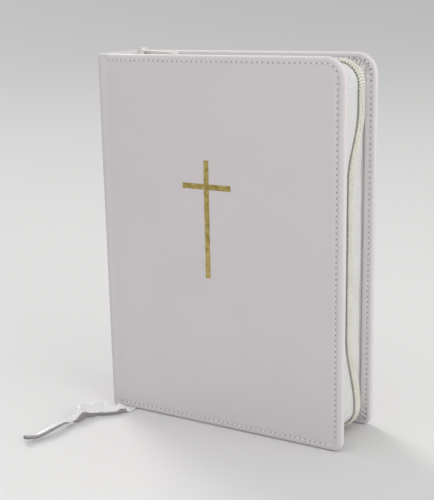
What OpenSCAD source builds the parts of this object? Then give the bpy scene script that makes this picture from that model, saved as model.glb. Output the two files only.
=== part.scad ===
/* [Book] */
// Width from the spine to the fore-edge
book_w = 130; // [125:1:140]
// Thickness over both covers
book_t = 38; // [37:0.5:44]
// Height from the tail to the head
book_h = 180; // [165:1:195]

/* [Covers] */
// Thickness of the outer leather
leather_t = 1.1; // [0.9:0.1:1.3]
// Thickness of the cover board
board_t = 1.5; // [1.2:0.1:1.7]
// Thickness of the lining on the inner side
lining_t = 0.6; // [0.4:0.1:0.7]
// Width of the turned-in leather rim outside the zip tape
rim_w = 5.8; // [5.4:0.1:6.4]
// Corner radius at the head of the fore-edge
head_r = 10; // [8:0.5:12]
// Corner radius at the tail of the fore-edge
tail_r = 5; // [4:0.5:7]
// Width of the soft leather hinge beside the spine
hinge_w = 4.5; // [4:0.1:6]

/* [Seam] */
// Distance of the seam from the fore-edge
seam_in = 4; // [3.4:0.1:4.4]
// Distance of the seam from the head and the tail
seam_in_z = 3; // [2.6:0.1:3.6]
// Thickness of the sewing thread
thread_d = 0.5; // [0.4:0.05:0.7]

/* [Cross] */
// Height of the foil cross
cross_h = 56.5; // [40:0.5:70]
// Width over the arms
cross_w = 26; // [18:0.5:34]
// Width of the foil stroke
cross_stroke = 2.7; // [2:0.1:4]
// Height of the foot of the cross above the tail
cross_foot_z = 75.5; // [60:0.5:85]
// Distance from the foot to the middle of the arms
cross_arm_up = 44; // [30:0.5:48]
// Sideways place of the cross
cross_x = -4.5; // [-10:0.5:10]

/* [Pages] */
// Height of the pages
page_h = 163; // [150:1:163]
// Width of the pages
page_w = 113; // [105:1:113]

/* [Zip] */
// Thickness of the woven tape
tape_t = 0.7; // [0.5:0.1:0.9]
// Width of one coil row
coil_w = 2.6; // [2.4:0.1:2.7]
// Height of the coil above the tape
coil_h = 1.5; // [1.3:0.1:1.7]
// Gap where the two coils meet
coil_gap = 0.5; // [0.4:0.1:0.6]
// How far the zip wanders towards the back near the fore-edge corners
wave_rise = 6.5; // [0:0.5:7]
// How far the tape bulges outwards there
bulge_out = 1.8; // [0:0.1:2]

/* [Slider] */
// Length of the slider body
slider_l = 13; // [11:0.5:13]
// Width of the slider body
slider_w = 8.2; // [8.2:0.1:9]
// Thickness of the slider plates
plate_t = 1; // [0.8:0.1:1]
// Length of the pull beyond its pin
pull_l = 20; // [14:0.5:20]
// Width of the pull
pull_w = 4.6; // [4:0.1:6]
// Thickness of the pull
pull_t = 1; // [0.8:0.1:1.2]

/* [Ribbon] */
// Width of the ribbon marker
ribbon_w = 9; // [7:0.5:9]
// Thickness of the ribbon marker
ribbon_t = 0.3; // [0.2:0.05:0.35]

/* [Hidden] */
section_count = 3;
$fn = 48;
eps = 0.01;

// Colours
white_leather = [0.87, 0.86, 0.88];
white_tape = [0.84, 0.85, 0.84];
cream_coil = [0.85, 0.83, 0.72];
satin_white = [0.92, 0.91, 0.90];
paper_cream = [0.93, 0.90, 0.83];
gold_foil = [0.60, 0.49, 0.20];
grey_board = [0.55, 0.53, 0.50];

// Planes of the covers: FRONT is the side at -Y, BACK at +Y
FRONT = -1;
BACK = 1;
x_fore = book_w / 2;
x_back = -book_w / 2;
y_out = book_t / 2;
cover_t = leather_t + board_t + lining_t;
y_in = y_out - cover_t;
x_hinge = x_back + 4;
x_board = x_hinge + hinge_w;
y_leather = y_out - leather_t;
y_board = y_leather - board_t;

// Recesses in the leather
seam_groove_w = thread_d + 0.2;
seam_groove_d = 0.3;
foil_t = 0.1;
foil_recess = 0.15;
notch_h = 0.9;

// Pages
fan_x = x_hinge + 1.5;
page_z0 = (book_h - page_h) / 2;
page_gap = 0.1;
ribbon_room = 0.4;
flyleaf_t = 0.3;
pastedown_t = 0.2;
flyleaf_room = 0.8;
section_t = (y_in - flyleaf_room - flyleaf_t - ribbon_room) / section_count - page_gap;
paste_in = rim_w + 2.5;

// Spine
spine_leather_t = 1.2;
spine_corner_r = 3;
spine_head_r = 2.5;
spine_tail_r = 3.5;
spine_gap = 0.3;
spine_d = x_hinge - spine_gap - x_back;
stiffener_t = 1.4;
mull_t = 0.6;
mull_x = fan_x - 0.3 - mull_t;
band_r = 0.8;
band_drop = 1;

// Zip route: the outer face of the tape, with its corner radii
zip_x = x_fore - rim_w;
zip_head_z = book_h - rim_w + 0.1;
zip_tail_z = rim_w - 0.1;
zip_head_r = 8;
zip_tail_r = 7;
tape_head_x = -57;
tape_tail_x = -47.5;
tape_setback = 1.2;
coil_tail_x = -45;
front_coil_head_x = -36;
back_coil_head_x = -55;
coil_chamfer = 0.35;
coil_clear = 0.15;
stop_l = 1.6;
part_y = -0.5;

// Where the zip leaves its middle line and wanders
wave_x = [26, 52];
wave_head_z = [book_h - 56, book_h - 25];
wave_tail_z = [50, 14];

// Slider
slider_x = -49;
plate_gap = 0.3;
flange_w = 1;
web_t = 0.26;
web_l = 3;
pin_x = slider_x - 1;
pin_z = book_h + 0.6;
pin_r = 0.5;
pin_clearance = 0.05;
ear_t = 0.8;
ear_y = 1.6;
ear_r = 1.6;
knuckle_r = 1.1;
pull_slope = -3;
pull_neck_l = 3.2;
upper_plate_z = zip_head_z + coil_clear + coil_h + plate_gap;
lower_plate_z = zip_head_z - tape_t - plate_gap - plate_t;

// Ribbon: middle of its width, and the height of its flat run under the front cover
ribbon_x = -54;
ribbon_run_z = 0.35;
ribbon_turn_r = 7;
ribbon_end_y = -15.5;
tail_half_w = 4;
tail_half_t = 0.3;
ribbon_route = [
    [-54, -15.5, 0.45], [-54, -19, 0.5], [-54, -24, 1.2], [-55.5, -28.5, 2.5], [-59, -32, 3],
    [-62.5, -35, 3], [-65, -39.5, 2.5], [-66, -45, 2.5], [-67, -50, 2.5], [-67.5, -56, 3],
    [-68, -62, 3], [-69, -68, 2.5], [-70.5, -72.5, 2], [-72.5, -76, 2.5], [-74, -78, 3]];

// Smooth step from 0 to 1 as v goes from range[0] to range[1]
function step_up(v, range) =
    let (u = min(1, max(0, (v - range[0]) / (range[1] - range[0])))) u * u * (3 - 2 * u);

// How much the zip wanders at a place on its route, from 0 to 1
function wander(x, z) = step_up(x, wave_x) * max(step_up(z, wave_head_z), step_up(z, wave_tail_z));
function parting_y(x, z) = part_y + wave_rise * wander(x, z);

// Stations along the zip, each [x, z, outward x, outward z]
function zip_route(tail_x, head_x) = let (
        tail_run = zip_x - zip_tail_r - tail_x,
        head_run = zip_x - zip_head_r - head_x,
        fore_run = zip_head_z - zip_head_r - zip_tail_z - zip_tail_r)
    concat(
        [for (i = [0:7]) [tail_x + tail_run * i / 8, zip_tail_z, 0, -1]],
        [for (a = [-90:15:0])
            [zip_x - zip_tail_r + zip_tail_r * cos(a), zip_tail_z + zip_tail_r * (1 + sin(a)),
                cos(a), sin(a)]],
        [for (i = [1:25]) [zip_x, zip_tail_z + zip_tail_r + fore_run * i / 26, 1, 0]],
        [for (a = [0:15:90])
            [zip_x - zip_head_r + zip_head_r * cos(a), zip_head_z + zip_head_r * (sin(a) - 1),
                cos(a), sin(a)]],
        [for (i = [1:8]) [zip_x - zip_head_r - head_run * i / 8, zip_head_z, 0, 1]]);

// A point of a station: y across the book, out above the tape's outer face
function station_point(s, y, out) = [s[0] + s[2] * out, y, s[1] + s[3] * out];

function tape_ring(s, side) = let (
        y_edge = parting_y(s[0], s[1]) + side * tape_setback,
        lift = bulge_out * wander(s[0], s[1]),
        ring = [station_point(s, side * y_in, -tape_t), station_point(s, side * y_in, 0),
            station_point(s, y_edge, lift), station_point(s, y_edge, lift - tape_t)])
    side == FRONT ? ring : reverse(ring);

function coil_ring(s, side) = let (
        y_near = parting_y(s[0], s[1]) + side * coil_gap / 2,
        y_far = y_near + side * coil_w,
        low = bulge_out * wander(s[0], s[1]) + coil_clear,
        high = low + coil_h,
        c = coil_chamfer,
        ring = [station_point(s, y_far, low), station_point(s, y_far, high - c),
            station_point(s, y_far - side * c, high), station_point(s, y_near + side * c, high),
            station_point(s, y_near, high - c), station_point(s, y_near, low)])
    side == FRONT ? ring : reverse(ring);

function reverse(list) = [for (i = [len(list) - 1:-1:0]) list[i]];

// Flat ring of the ribbon's free end, level across its own direction
function ribbon_ring(i) = let (
        n = len(ribbon_route) - 1,
        here = ribbon_route[i],
        ahead = ribbon_route[min(n, i + 1)] - ribbon_route[max(0, i - 1)],
        across = [ahead[1], -ahead[0], 0] / norm([ahead[0], ahead[1]]))
    [for (a = [0:45:315]) here + across * tail_half_w * cos(a) + [0, 0, tail_half_t * sin(a)]];

// A closed solid through a list of rings with the same number of points
module sweep(rings) {
    sides = len(rings[0]);
    last = len(rings) - 1;
    polyhedron(
        points = [for (ring = rings) each ring],
        faces = concat(
            [[for (k = [0:sides - 1]) k]],
            [for (i = [0:last - 1], k = [0:sides - 1]) let (n = (k + 1) % sides)
                [i * sides + n, i * sides + k, (i + 1) * sides + k, (i + 1) * sides + n]],
            [[for (k = [sides - 1:-1:0]) last * sides + k]]),
        convexity = 6);
}

// Outline of a cover panel in X and Z, from the x given to the fore-edge
module panel_outline(from_x, in_x, in_z, r_head, r_tail) {
    x1 = x_fore - in_x;
    z0 = in_z;
    z1 = book_h - in_z;
    difference() {
        translate([from_x, z0]) square([x1 - from_x, z1 - z0]);
        translate([x1 - r_head, z1 - r_head]) square(r_head + 1);
        translate([x1 - r_tail, z0 - 1]) square(r_tail + 1);
    }
    translate([x1 - r_head, z1 - r_head]) circle(r_head);
    translate([x1 - r_tail, z0 + r_tail]) circle(r_tail);
}

// Extrudes an outline in X and Z from y_low to y_high
module upright(y_low, y_high) {
    translate([0, y_high, 0]) rotate([90, 0, 0]) linear_extrude(y_high - y_low) children();
}

// Puts a piece made for the front cover on the chosen side
module on_side(side) {
    if (side == FRONT) children();
    else mirror([0, 1, 0]) children();
}

module rim_outline(in_x, from_x) {
    panel_outline(from_x, in_x, in_x, max(head_r - in_x, 1.5), max(tail_r - in_x, 1.5));
}

module seam_outline(w) {
    inner_r = 0.8;
    difference() {
        panel_outline(x_board, seam_in - w / 2, seam_in_z - w / 2, head_r - seam_in + w / 2,
            inner_r + w);
        panel_outline(x_board - 1, seam_in + w / 2, seam_in_z + w / 2, head_r - seam_in - w / 2,
            inner_r);
    }
}

module cross_outline(grow) {
    translate([cross_x - cross_stroke / 2 - grow, cross_foot_z - grow])
        square([cross_stroke + 2 * grow, cross_h + 2 * grow]);
    translate([cross_x - cross_w / 2 - grow, cross_foot_z + cross_arm_up - cross_stroke / 2 - grow])
        square([cross_w + 2 * grow, cross_stroke + 2 * grow]);
}

// Outer leather with its turned-in rim, the seam grooves and the soft hinge
module cover_leather() {
    difference() {
        union() {
            upright(-y_out, -y_leather) rim_outline(0, x_hinge);
            upright(-y_leather, -y_in) difference() {
                rim_outline(0, x_board);
                rim_outline(rim_w, x_board - 1);
            }
        }
        upright(-y_out - 1, -y_out + seam_groove_d) seam_outline(seam_groove_w);
        upright(-y_in - seam_groove_d, -y_in + 1) seam_outline(seam_groove_w);
    }
}

module cover_board() {
    upright(-y_leather, -y_board) rim_outline(rim_w, x_board);
}

module cover_lining() {
    upright(-y_board, -y_in) rim_outline(rim_w, x_board);
}

module cover_pastedown() {
    upright(-y_in, -y_in + pastedown_t) rim_outline(paste_in, x_board);
}

module cover_thread() {
    depth = 0.05;
    upright(-y_out + depth, -y_out + seam_groove_d) seam_outline(thread_d);
    upright(-y_in - seam_groove_d, -y_in - depth) seam_outline(thread_d);
}

module zip_tape(side) {
    sweep([for (s = zip_route(tape_tail_x, tape_head_x)) tape_ring(s, side)]);
}

module zip_coil(side, head_x) {
    sweep([for (s = zip_route(coil_tail_x, head_x)) coil_ring(s, side)]);
}

module zip_stops(side, head_x) {
    y_low = part_y + (side == FRONT ? -coil_gap / 2 - coil_w : coil_gap / 2);
    stop_h = coil_clear + coil_h;
    translate([head_x - stop_l, y_low, zip_head_z]) cube([stop_l, coil_w, stop_h]);
    translate([coil_tail_x - stop_l, y_low, zip_tail_z - stop_h]) cube([stop_l, coil_w, stop_h]);
}

module page_section(index, side) {
    y_high = -ribbon_room - (section_count - index) * (section_t + page_gap);
    on_side(side) translate([fan_x, y_high - section_t, page_z0]) cube([page_w, section_t, page_h]);
}

module flyleaf(side) {
    y_low = -ribbon_room - section_count * (section_t + page_gap) + page_gap - flyleaf_t;
    on_side(side) translate([fan_x, y_low, page_z0]) cube([page_w, flyleaf_t, page_h]);
}

module end_band(z) {
    half_l = y_in - 2;
    translate([fan_x + band_r - band_drop, half_l, z]) rotate([90, 0, 0])
        cylinder(h = 2 * half_l, r = band_r);
}

module spine_outline() {
    r = spine_corner_r;
    translate([x_back, r - y_out]) square([spine_d, book_t - 2 * r]);
    translate([x_back + r, -y_out]) square([spine_d - r, book_t]);
    intersection() {
        for (y = [r - y_out, y_out - r]) translate([x_back + r, y]) circle(r);
        translate([x_back, -y_out]) square([spine_d, book_t]);
    }
}

module spine_side_outline() {
    x0 = x_back;
    difference() {
        translate([x0, 0]) square([spine_d, book_h]);
        translate([x0 - 1, book_h - spine_head_r]) square(spine_head_r + 1);
        translate([x0 - 1, -1]) square(spine_tail_r + 1);
    }
    intersection() {
        union() {
            translate([x0 + spine_head_r, book_h - spine_head_r]) circle(spine_head_r);
            translate([x0 + spine_tail_r, spine_tail_r]) circle(spine_tail_r);
        }
        translate([x0, 0]) square([spine_d, book_h]);
    }
}

module spine_leather() color(white_leather) {
    intersection() {
        difference() {
            linear_extrude(book_h) spine_outline();
            translate([x_back + spine_leather_t, spine_leather_t - y_out, -1])
                cube([10, book_t - 2 * spine_leather_t, book_h + 2]);
        }
        upright(-y_out - 1, y_out + 1) spine_side_outline();
    }
}

module spine_stiffener() color(grey_board) {
    half_w = y_out - 4;
    z0 = spine_tail_r + 0.5;
    translate([x_back + spine_leather_t, -half_w, z0])
        cube([stiffener_t, 2 * half_w, book_h - z0 - spine_head_r - 0.5]);
}

module spine_mull() color([0.86, 0.84, 0.76]) {
    x0 = x_back + spine_leather_t + stiffener_t;
    translate([x0, -y_in + 1, page_z0]) cube([mull_x + mull_t - x0, 2 * y_in - 2, page_h]);
}

module head_band() color(white_tape) end_band(page_z0 + page_h + band_r + 0.2);

module tail_band() color(white_tape) end_band(page_z0 - band_r - 0.2);

module ribbon_inner() color(satin_white) {
    x0 = ribbon_x - ribbon_w / 2;
    r = ribbon_turn_r;
    turn_z = ribbon_run_z + r;
    head_z = page_z0 + page_h - 2;
    translate([x0, -ribbon_t / 2, turn_z]) cube([ribbon_w, ribbon_t, head_z - turn_z]);
    translate([x0, 0, 0]) rotate([90, 0, 90]) linear_extrude(ribbon_w) intersection() {
        translate([-r, turn_z]) difference() {
            circle(r + ribbon_t / 2);
            circle(r - ribbon_t / 2);
        }
        translate([-r, -1]) square([2 * r, turn_z + 1]);
    }
    translate([x0, ribbon_end_y, ribbon_run_z - ribbon_t / 2])
        cube([ribbon_w, -r - ribbon_end_y, ribbon_t]);
}

module front_leather() color(white_leather) difference() {
    cover_leather();
    upright(-y_out - 1, -y_out + foil_recess) cross_outline(0.02);
    translate([ribbon_x - ribbon_w / 2 - 0.5, -y_out - 1, -1])
        cube([ribbon_w + 1, cover_t + 2, notch_h + 1]);
}

module front_board() color(grey_board) cover_board();

module front_lining() color(white_leather) cover_lining();

module front_pastedown() color(paper_cream) cover_pastedown();

module front_stitching() color(satin_white) cover_thread();

module gold_cross() color(gold_foil)
    upright(-y_out + foil_recess - foil_t, -y_out + foil_recess) cross_outline(0);

module front_zip_tape() color(white_tape) zip_tape(FRONT);

module front_zip_coil() color(cream_coil) zip_coil(FRONT, front_coil_head_x);

module front_zip_stops() color(satin_white) zip_stops(FRONT, front_coil_head_x);

module ribbon_tail() color(satin_white)
    sweep([for (i = [0:len(ribbon_route) - 1]) ribbon_ring(i)]);

module back_leather() color(white_leather) on_side(BACK) cover_leather();

module back_board() color(grey_board) on_side(BACK) cover_board();

module back_lining() color(white_leather) on_side(BACK) cover_lining();

module back_pastedown() color(paper_cream) on_side(BACK) cover_pastedown();

module back_stitching() color(satin_white) on_side(BACK) cover_thread();

module back_zip_tape() color(white_tape) zip_tape(BACK);

module back_zip_coil() color(cream_coil) zip_coil(BACK, back_coil_head_x);

module back_zip_stops() color(satin_white) zip_stops(BACK, back_coil_head_x);

module front_flyleaf() color(paper_cream) flyleaf(FRONT);

module back_flyleaf() color(paper_cream) flyleaf(BACK);

module pages_front(index) color(paper_cream) page_section(index, FRONT);

module pages_back(index) color(paper_cream) page_section(index, BACK);

// Two plates round the closed coils, side flanges, and the web between the coils
module slider_body() color(satin_white) {
    x0 = slider_x - slider_l / 2;
    y0 = part_y - slider_w / 2;
    flange_z = zip_head_z + plate_gap;
    translate([x0, y0, lower_plate_z]) cube([slider_l, slider_w, plate_t]);
    translate([x0, y0, upper_plate_z]) cube([slider_l, slider_w, plate_t]);
    for (y = [y0, y0 + slider_w - flange_w])
        translate([x0, y, flange_z]) cube([slider_l, flange_w, upper_plate_z - flange_z]);
    translate([x0, part_y - web_t / 2, lower_plate_z + plate_t])
        cube([web_l, web_t, upper_plate_z - lower_plate_z - plate_t]);
}

module slider_bail() color(satin_white) {
    base_z = upper_plate_z + plate_t;
    for (y = [part_y - ear_y - ear_t, part_y + ear_y]) upright(y, y + ear_t) {
        translate([pin_x - ear_r, base_z]) square([2 * ear_r, pin_z - base_z]);
        translate([pin_x, pin_z]) circle(ear_r);
    }
    translate([pin_x, part_y + ear_y, pin_z]) rotate([90, 0, 0]) cylinder(h = 2 * ear_y, r = pin_r);
}

module zip_pull() color(satin_white)
    translate([pin_x, part_y, pin_z]) rotate([0, -pull_slope, 0]) difference() {
        knuckle_w = 2 * ear_y - 0.4;
        union() {
            translate([0, knuckle_w / 2, 0]) rotate([90, 0, 0])
                cylinder(h = knuckle_w, r = knuckle_r);
            translate([0, -knuckle_w / 2, -pull_t / 2]) cube([pull_neck_l, knuckle_w, pull_t]);
            translate([pull_neck_l - eps, -pull_w / 2, -pull_t / 2])
                cube([pull_l - pull_neck_l - pull_w / 2, pull_w, pull_t]);
            translate([pull_l - pull_w / 2, 0, -pull_t / 2]) cylinder(h = pull_t, r = pull_w / 2);
        }
        translate([0, knuckle_w, 0]) rotate([90, 0, 0])
            cylinder(h = 2 * knuckle_w, r = pin_r + pin_clearance);
    }

spine_leather();
spine_stiffener();
spine_mull();
head_band();
tail_band();
ribbon_inner();
front_leather();
front_board();
front_lining();
front_pastedown();
front_stitching();
gold_cross();
front_zip_tape();
front_zip_coil();
front_zip_stops();
ribbon_tail();
back_leather();
back_board();
back_lining();
back_pastedown();
back_stitching();
back_zip_tape();
back_zip_coil();
back_zip_stops();
front_flyleaf();
pages_front(1);  // pages_front_1
pages_front(2);  // pages_front_2
pages_front(3);  // pages_front_3
back_flyleaf();
pages_back(1);  // pages_back_1
pages_back(2);  // pages_back_2
pages_back(3);  // pages_back_3
slider_body();
slider_bail();
zip_pull();
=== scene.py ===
"""Looks of a prayer book in a zip binding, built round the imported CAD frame. Units are metres."""
import math
import random

import bmesh
import bpy
import numpy as np
from mathutils import Matrix, Vector


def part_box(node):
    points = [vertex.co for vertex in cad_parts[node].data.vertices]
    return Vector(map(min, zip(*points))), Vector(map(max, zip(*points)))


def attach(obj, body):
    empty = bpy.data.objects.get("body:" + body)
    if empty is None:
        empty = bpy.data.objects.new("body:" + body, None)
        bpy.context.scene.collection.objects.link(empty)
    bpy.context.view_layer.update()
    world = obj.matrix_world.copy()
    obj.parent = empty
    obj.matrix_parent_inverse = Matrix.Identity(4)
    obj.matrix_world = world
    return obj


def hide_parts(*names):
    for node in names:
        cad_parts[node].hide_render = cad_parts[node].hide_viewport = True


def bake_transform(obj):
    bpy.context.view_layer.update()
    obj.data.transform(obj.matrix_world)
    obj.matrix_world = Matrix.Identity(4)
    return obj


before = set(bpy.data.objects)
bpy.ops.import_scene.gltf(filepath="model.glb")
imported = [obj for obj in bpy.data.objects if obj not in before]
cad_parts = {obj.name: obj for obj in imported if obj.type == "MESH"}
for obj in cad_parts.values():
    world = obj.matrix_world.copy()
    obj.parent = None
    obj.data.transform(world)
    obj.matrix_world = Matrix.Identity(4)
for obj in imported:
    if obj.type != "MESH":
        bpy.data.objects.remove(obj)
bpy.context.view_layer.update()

MM = 0.001
FRONT, BACK = -1, 1
rng = random.Random(7)

# ---------------------------------------------------------------- places read from the frame
leather_low, leather_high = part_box("front_leather")
spine_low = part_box("spine_leather")[0]
lining_low, lining_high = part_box("front_lining")
X_FORE = leather_high.x
X_HINGE = leather_low.x
X_SPINE = spine_low.x
Y_OUT = -leather_low.y
Y_IN = -leather_high.y
BOOK_H = leather_high.z
COVER_T = Y_OUT - Y_IN
X_BOARD = lining_low.x
RIM_W = X_FORE - lining_high.x


# ---------------------------------------------------------------- camera
def add_camera():
    """The camera at the view the book is shown from: front cover, fore-edge and a little of the head."""
    azimuth, elevation, roll = (math.radians(a) for a in (30.314, 13.948, -1.155))
    distance, side, rise = 0.4936, -0.0092, 0.0858
    back = Vector((math.sin(azimuth) * math.cos(elevation), -math.cos(azimuth) * math.cos(elevation),
                   math.sin(elevation)))
    right = Vector((math.cos(azimuth), math.sin(azimuth), 0))
    up = back.cross(right)
    aim = right * side + Vector((0, 0, BOOK_H / 2)) + up * (rise - BOOK_H / 2)
    axis_x = right * math.cos(roll) + up * math.sin(roll)
    axis_y = up * math.cos(roll) - right * math.sin(roll)
    matrix = Matrix((axis_x, axis_y, back)).transposed().to_4x4()
    matrix.translation = aim + back * distance
    data = bpy.data.cameras.new("camera")
    data.lens = 73.12
    data.sensor_width = 36
    data.clip_start = 0.01
    camera = bpy.data.objects.new("camera", data)
    camera.matrix_world = matrix
    bpy.context.scene.collection.objects.link(camera)
    bpy.context.scene.camera = camera


add_camera()


# ---------------------------------------------------------------- mesh helpers
def add_mesh(name, points, faces, material, smooth=True, uv=None):
    """A mesh object from points and faces, with one UV pair per point where uv is given."""
    mesh = bpy.data.meshes.new(name)
    mesh.from_pydata([tuple(p) for p in points], [], [tuple(f) for f in faces])
    if uv is not None:
        layer = mesh.uv_layers.new(name="along")
        for loop in mesh.loops:
            layer.data[loop.index].uv = uv[loop.vertex_index]
    mesh.polygons.foreach_set("use_smooth", [smooth] * len(mesh.polygons))
    mesh.materials.append(material)
    mesh.validate()
    mesh.update()
    obj = bpy.data.objects.new(name, mesh)
    bpy.context.scene.collection.objects.link(obj)
    return obj


def grid_faces(rows, columns, wrap=False, flip=False, first=0):
    """Quads over rows of points, each row closed on itself where wrap is true."""
    faces = []
    for i in range(rows - 1):
        for k in range(columns if wrap else columns - 1):
            n = (k + 1) % columns
            a, b = first + i * columns, first + (i + 1) * columns
            quad = (a + k, a + n, b + n, b + k)
            faces.append(quad[::-1] if flip else quad)
    return faces


def tube_mesh(name, rings, material, uv=None, flip=False):
    """A closed solid through rings of points, with a flat cap at each end."""
    rings = np.asarray(rings, float)
    rows, columns = rings.shape[:2]
    faces = grid_faces(rows, columns, wrap=True, flip=flip)
    start, end = list(range(columns)), list(range((rows - 1) * columns, rows * columns))
    faces += [start if flip else start[::-1], end[::-1] if flip else end]
    return add_mesh(name, rings.reshape(-1, 3), faces, material, uv=uv)


def smooth_step(value, low, high):
    t = np.clip((np.asarray(value, float) - low) / (high - low), 0, 1)
    return t * t * (3 - 2 * t)


def spline(points, count):
    """count points at even spacing on a Catmull-Rom curve through the given points."""
    p = np.asarray(points, float)
    p = np.vstack([2 * p[0] - p[1], p, 2 * p[-1] - p[-2]])
    fine = []
    for i in range(1, len(p) - 2):
        for t in np.linspace(0, 1, 20, endpoint=False):
            fine.append(0.5 * (2 * p[i] + (p[i + 1] - p[i - 1]) * t
                        + (2 * p[i - 1] - 5 * p[i] + 4 * p[i + 1] - p[i + 2]) * t ** 2
                        + (3 * p[i] - p[i - 1] - 3 * p[i + 1] + p[i + 2]) * t ** 3))
    fine.append(p[-2])
    fine = np.array(fine)
    run = np.concatenate([[0], np.cumsum(np.linalg.norm(np.diff(fine, axis=0), axis=1))])
    even = np.linspace(0, run[-1], count)
    return np.column_stack([np.interp(even, run, fine[:, k]) for k in range(fine.shape[1])]), run[-1]


# ---------------------------------------------------------------- material helpers
class Shader:
    """Short names for building one procedural material."""

    def __init__(self, name, color=(0.8, 0.8, 0.8), roughness=0.5, metallic=0.0):
        self.material = bpy.data.materials.new(name)
        self.material.use_nodes = True
        self.tree = self.material.node_tree
        self.bsdf = self.tree.nodes["Principled BSDF"]
        self.set("Base Color", (*color, 1))
        self.set("Roughness", roughness)
        self.set("Metallic", metallic)
        self.height = None

    def set(self, socket, value):
        self.bsdf.inputs[socket].default_value = value

    def node(self, kind, inputs=(), **settings):
        made = self.tree.nodes.new("ShaderNode" + kind)
        for key, value in settings.items():
            setattr(made, key, value)
        for key, value in dict(inputs).items():
            self.put(made.inputs[key], value)
        return made

    def put(self, socket, value):
        if isinstance(value, bpy.types.NodeSocket):
            self.tree.links.new(value, socket)
        else:
            socket.default_value = value

    def math(self, operation, a, b=0.0, clamp=False):
        return self.node("Math", {0: a, 1: b}, operation=operation, use_clamp=clamp).outputs[0]

    def place(self):
        return self.node("TexCoord").outputs["Object"]

    def along(self):
        return self.node("UVMap", uv_map="along").outputs["UV"]

    def noise(self, vector, scale, detail=3.0, roughness=0.5):
        made = self.node("TexNoise", {"Vector": vector, "Scale": scale, "Detail": detail,
                                      "Roughness": roughness})
        return made.outputs["Fac"]

    def cells(self, vector, scale, feature="F1"):
        made = self.node("TexVoronoi", {"Vector": vector, "Scale": scale}, feature=feature)
        return made.outputs["Distance"]

    def ramp(self, value, stops):
        made = self.node("ValToRGB", {"Fac": value})
        ramp = made.color_ramp
        while len(ramp.elements) < len(stops):
            ramp.elements.new(0.5)
        for element, (place, color) in zip(ramp.elements, stops):
            element.position = place
            element.color = (*color, 1)
        return made.outputs["Color"]

    def range(self, value, low, high, new_low, new_high):
        made = self.node("MapRange", {"Value": value, "From Min": low, "From Max": high,
                                      "To Min": new_low, "To Max": new_high})
        return made.outputs["Result"]

    def color(self, value):
        self.put(self.bsdf.inputs["Base Color"], value)

    def rough(self, value):
        self.put(self.bsdf.inputs["Roughness"], value)

    def bump(self, height, distance, strength=1.0):
        inputs = {"Height": height, "Distance": distance, "Strength": strength}
        if self.height is not None:
            inputs["Normal"] = self.height
        self.height = self.node("Bump", inputs).outputs["Normal"]
        self.put(self.bsdf.inputs["Normal"], self.height)


def stretched(s, vector, scale):
    return s.node("Mapping", {"Vector": vector, "Scale": scale}).outputs["Vector"]


def leather_material(name="leather", base=(0.69, 0.65, 0.66)):
    """Fine pebbled calf leather, coated white, a little greyer in the grain's valleys."""
    s = Shader(name, base, 0.42)
    place = s.place()
    warp = s.node("TexNoise", {"Vector": place, "Scale": 420.0, "Detail": 2.0}).outputs["Color"]
    bent = s.node("VectorMath", {0: place, 1: s.node("VectorMath", {0: warp, 1: (0.0012,) * 3},
                  operation="MULTIPLY").outputs[0]}, operation="ADD").outputs[0]
    pebbles = s.cells(bent, 2200.0, "SMOOTH_F1")
    creases = s.cells(bent, 1700.0, "DISTANCE_TO_EDGE")
    pores = s.noise(place, 2600.0, 2.0)
    broad = s.noise(place, 26.0, 3.0)
    valley = s.range(creases, 0.0, 0.12, 1.0, 0.0)
    dark = tuple(c * 0.90 for c in base)
    light = tuple(min(1, c * 1.02) for c in base)
    s.color(s.ramp(s.math("ADD", s.math("MULTIPLY", valley, 0.35), s.math("MULTIPLY", broad, 0.65)),
                   [(0.25, light), (0.5, base), (0.95, dark)]))
    s.rough(s.range(s.math("ADD", broad, s.math("MULTIPLY", pores, 0.4)), 0.4, 1.0, 0.36, 0.54))
    s.bump(s.math("SUBTRACT", s.math("MULTIPLY", pebbles, -0.6), s.math("MULTIPLY", valley, 0.8)),
           0.00006, 0.55)
    s.bump(pores, 0.00003, 0.35)
    s.bump(broad, 0.0006, 0.25)
    s.set("Specular IOR Level", 0.45)
    return s.material


def satin_material(name="satin", low=(0.66, 0.65, 0.665), high=(0.77, 0.765, 0.77), coat=0.6):
    """Satin: dull body under glossy threads, bright where it catches the light at a low angle, with painted
    shade below the fold line.
    """
    s = Shader(name, high, 0.42)
    along = s.along()
    warp = s.node("TexWave", {"Vector": along, "Scale": 620.0, "Distortion": 0.6, "Detail": 1.0},
                  bands_direction="Y").outputs["Fac"]
    weft = s.node("TexWave", {"Vector": along, "Scale": 900.0, "Distortion": 0.3},
                  bands_direction="X").outputs["Fac"]
    streak = s.noise(stretched(s, along, (30.0, 900.0, 1.0)), 1.0, 3.0)
    # Painted shade: below UV v = 0, where the ribbon folds under, the colour runs down to a dark grey-violet
    # that stands in for the fold's shade.
    turned = s.range(s.node("SeparateXYZ", {"Vector": along}).outputs["Y"], -0.6 * MM, 0.0, 0.75, 0.0)
    painted_fold_shade_color = (0.25, 0.235, 0.26)
    s.color(s.ramp(s.math("SUBTRACT", streak, turned), [(0.0, painted_fold_shade_color), (0.25, low), (0.7, high)]))
    s.rough(s.range(streak, 0.2, 0.8, 0.34, 0.50))
    s.bump(warp, 0.00005, 0.5)
    s.bump(weft, 0.00003, 0.3)
    s.set("Coat Weight", coat)
    s.set("Coat Roughness", 0.22)
    s.set("Coat IOR", 1.75)
    s.set("Sheen Weight", 0.3)
    s.set("Sheen Roughness", 0.4)
    return s.material


SATIN = satin_material()
# Painted shade: a darker grey-violet copy of the white satin, used on the ribbon's underside where it lies in
# shade.
SATIN_PAINTED_SHADE = satin_material("satin_painted_shade", (0.25, 0.235, 0.26), (0.35, 0.335, 0.36), 0.15)

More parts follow.
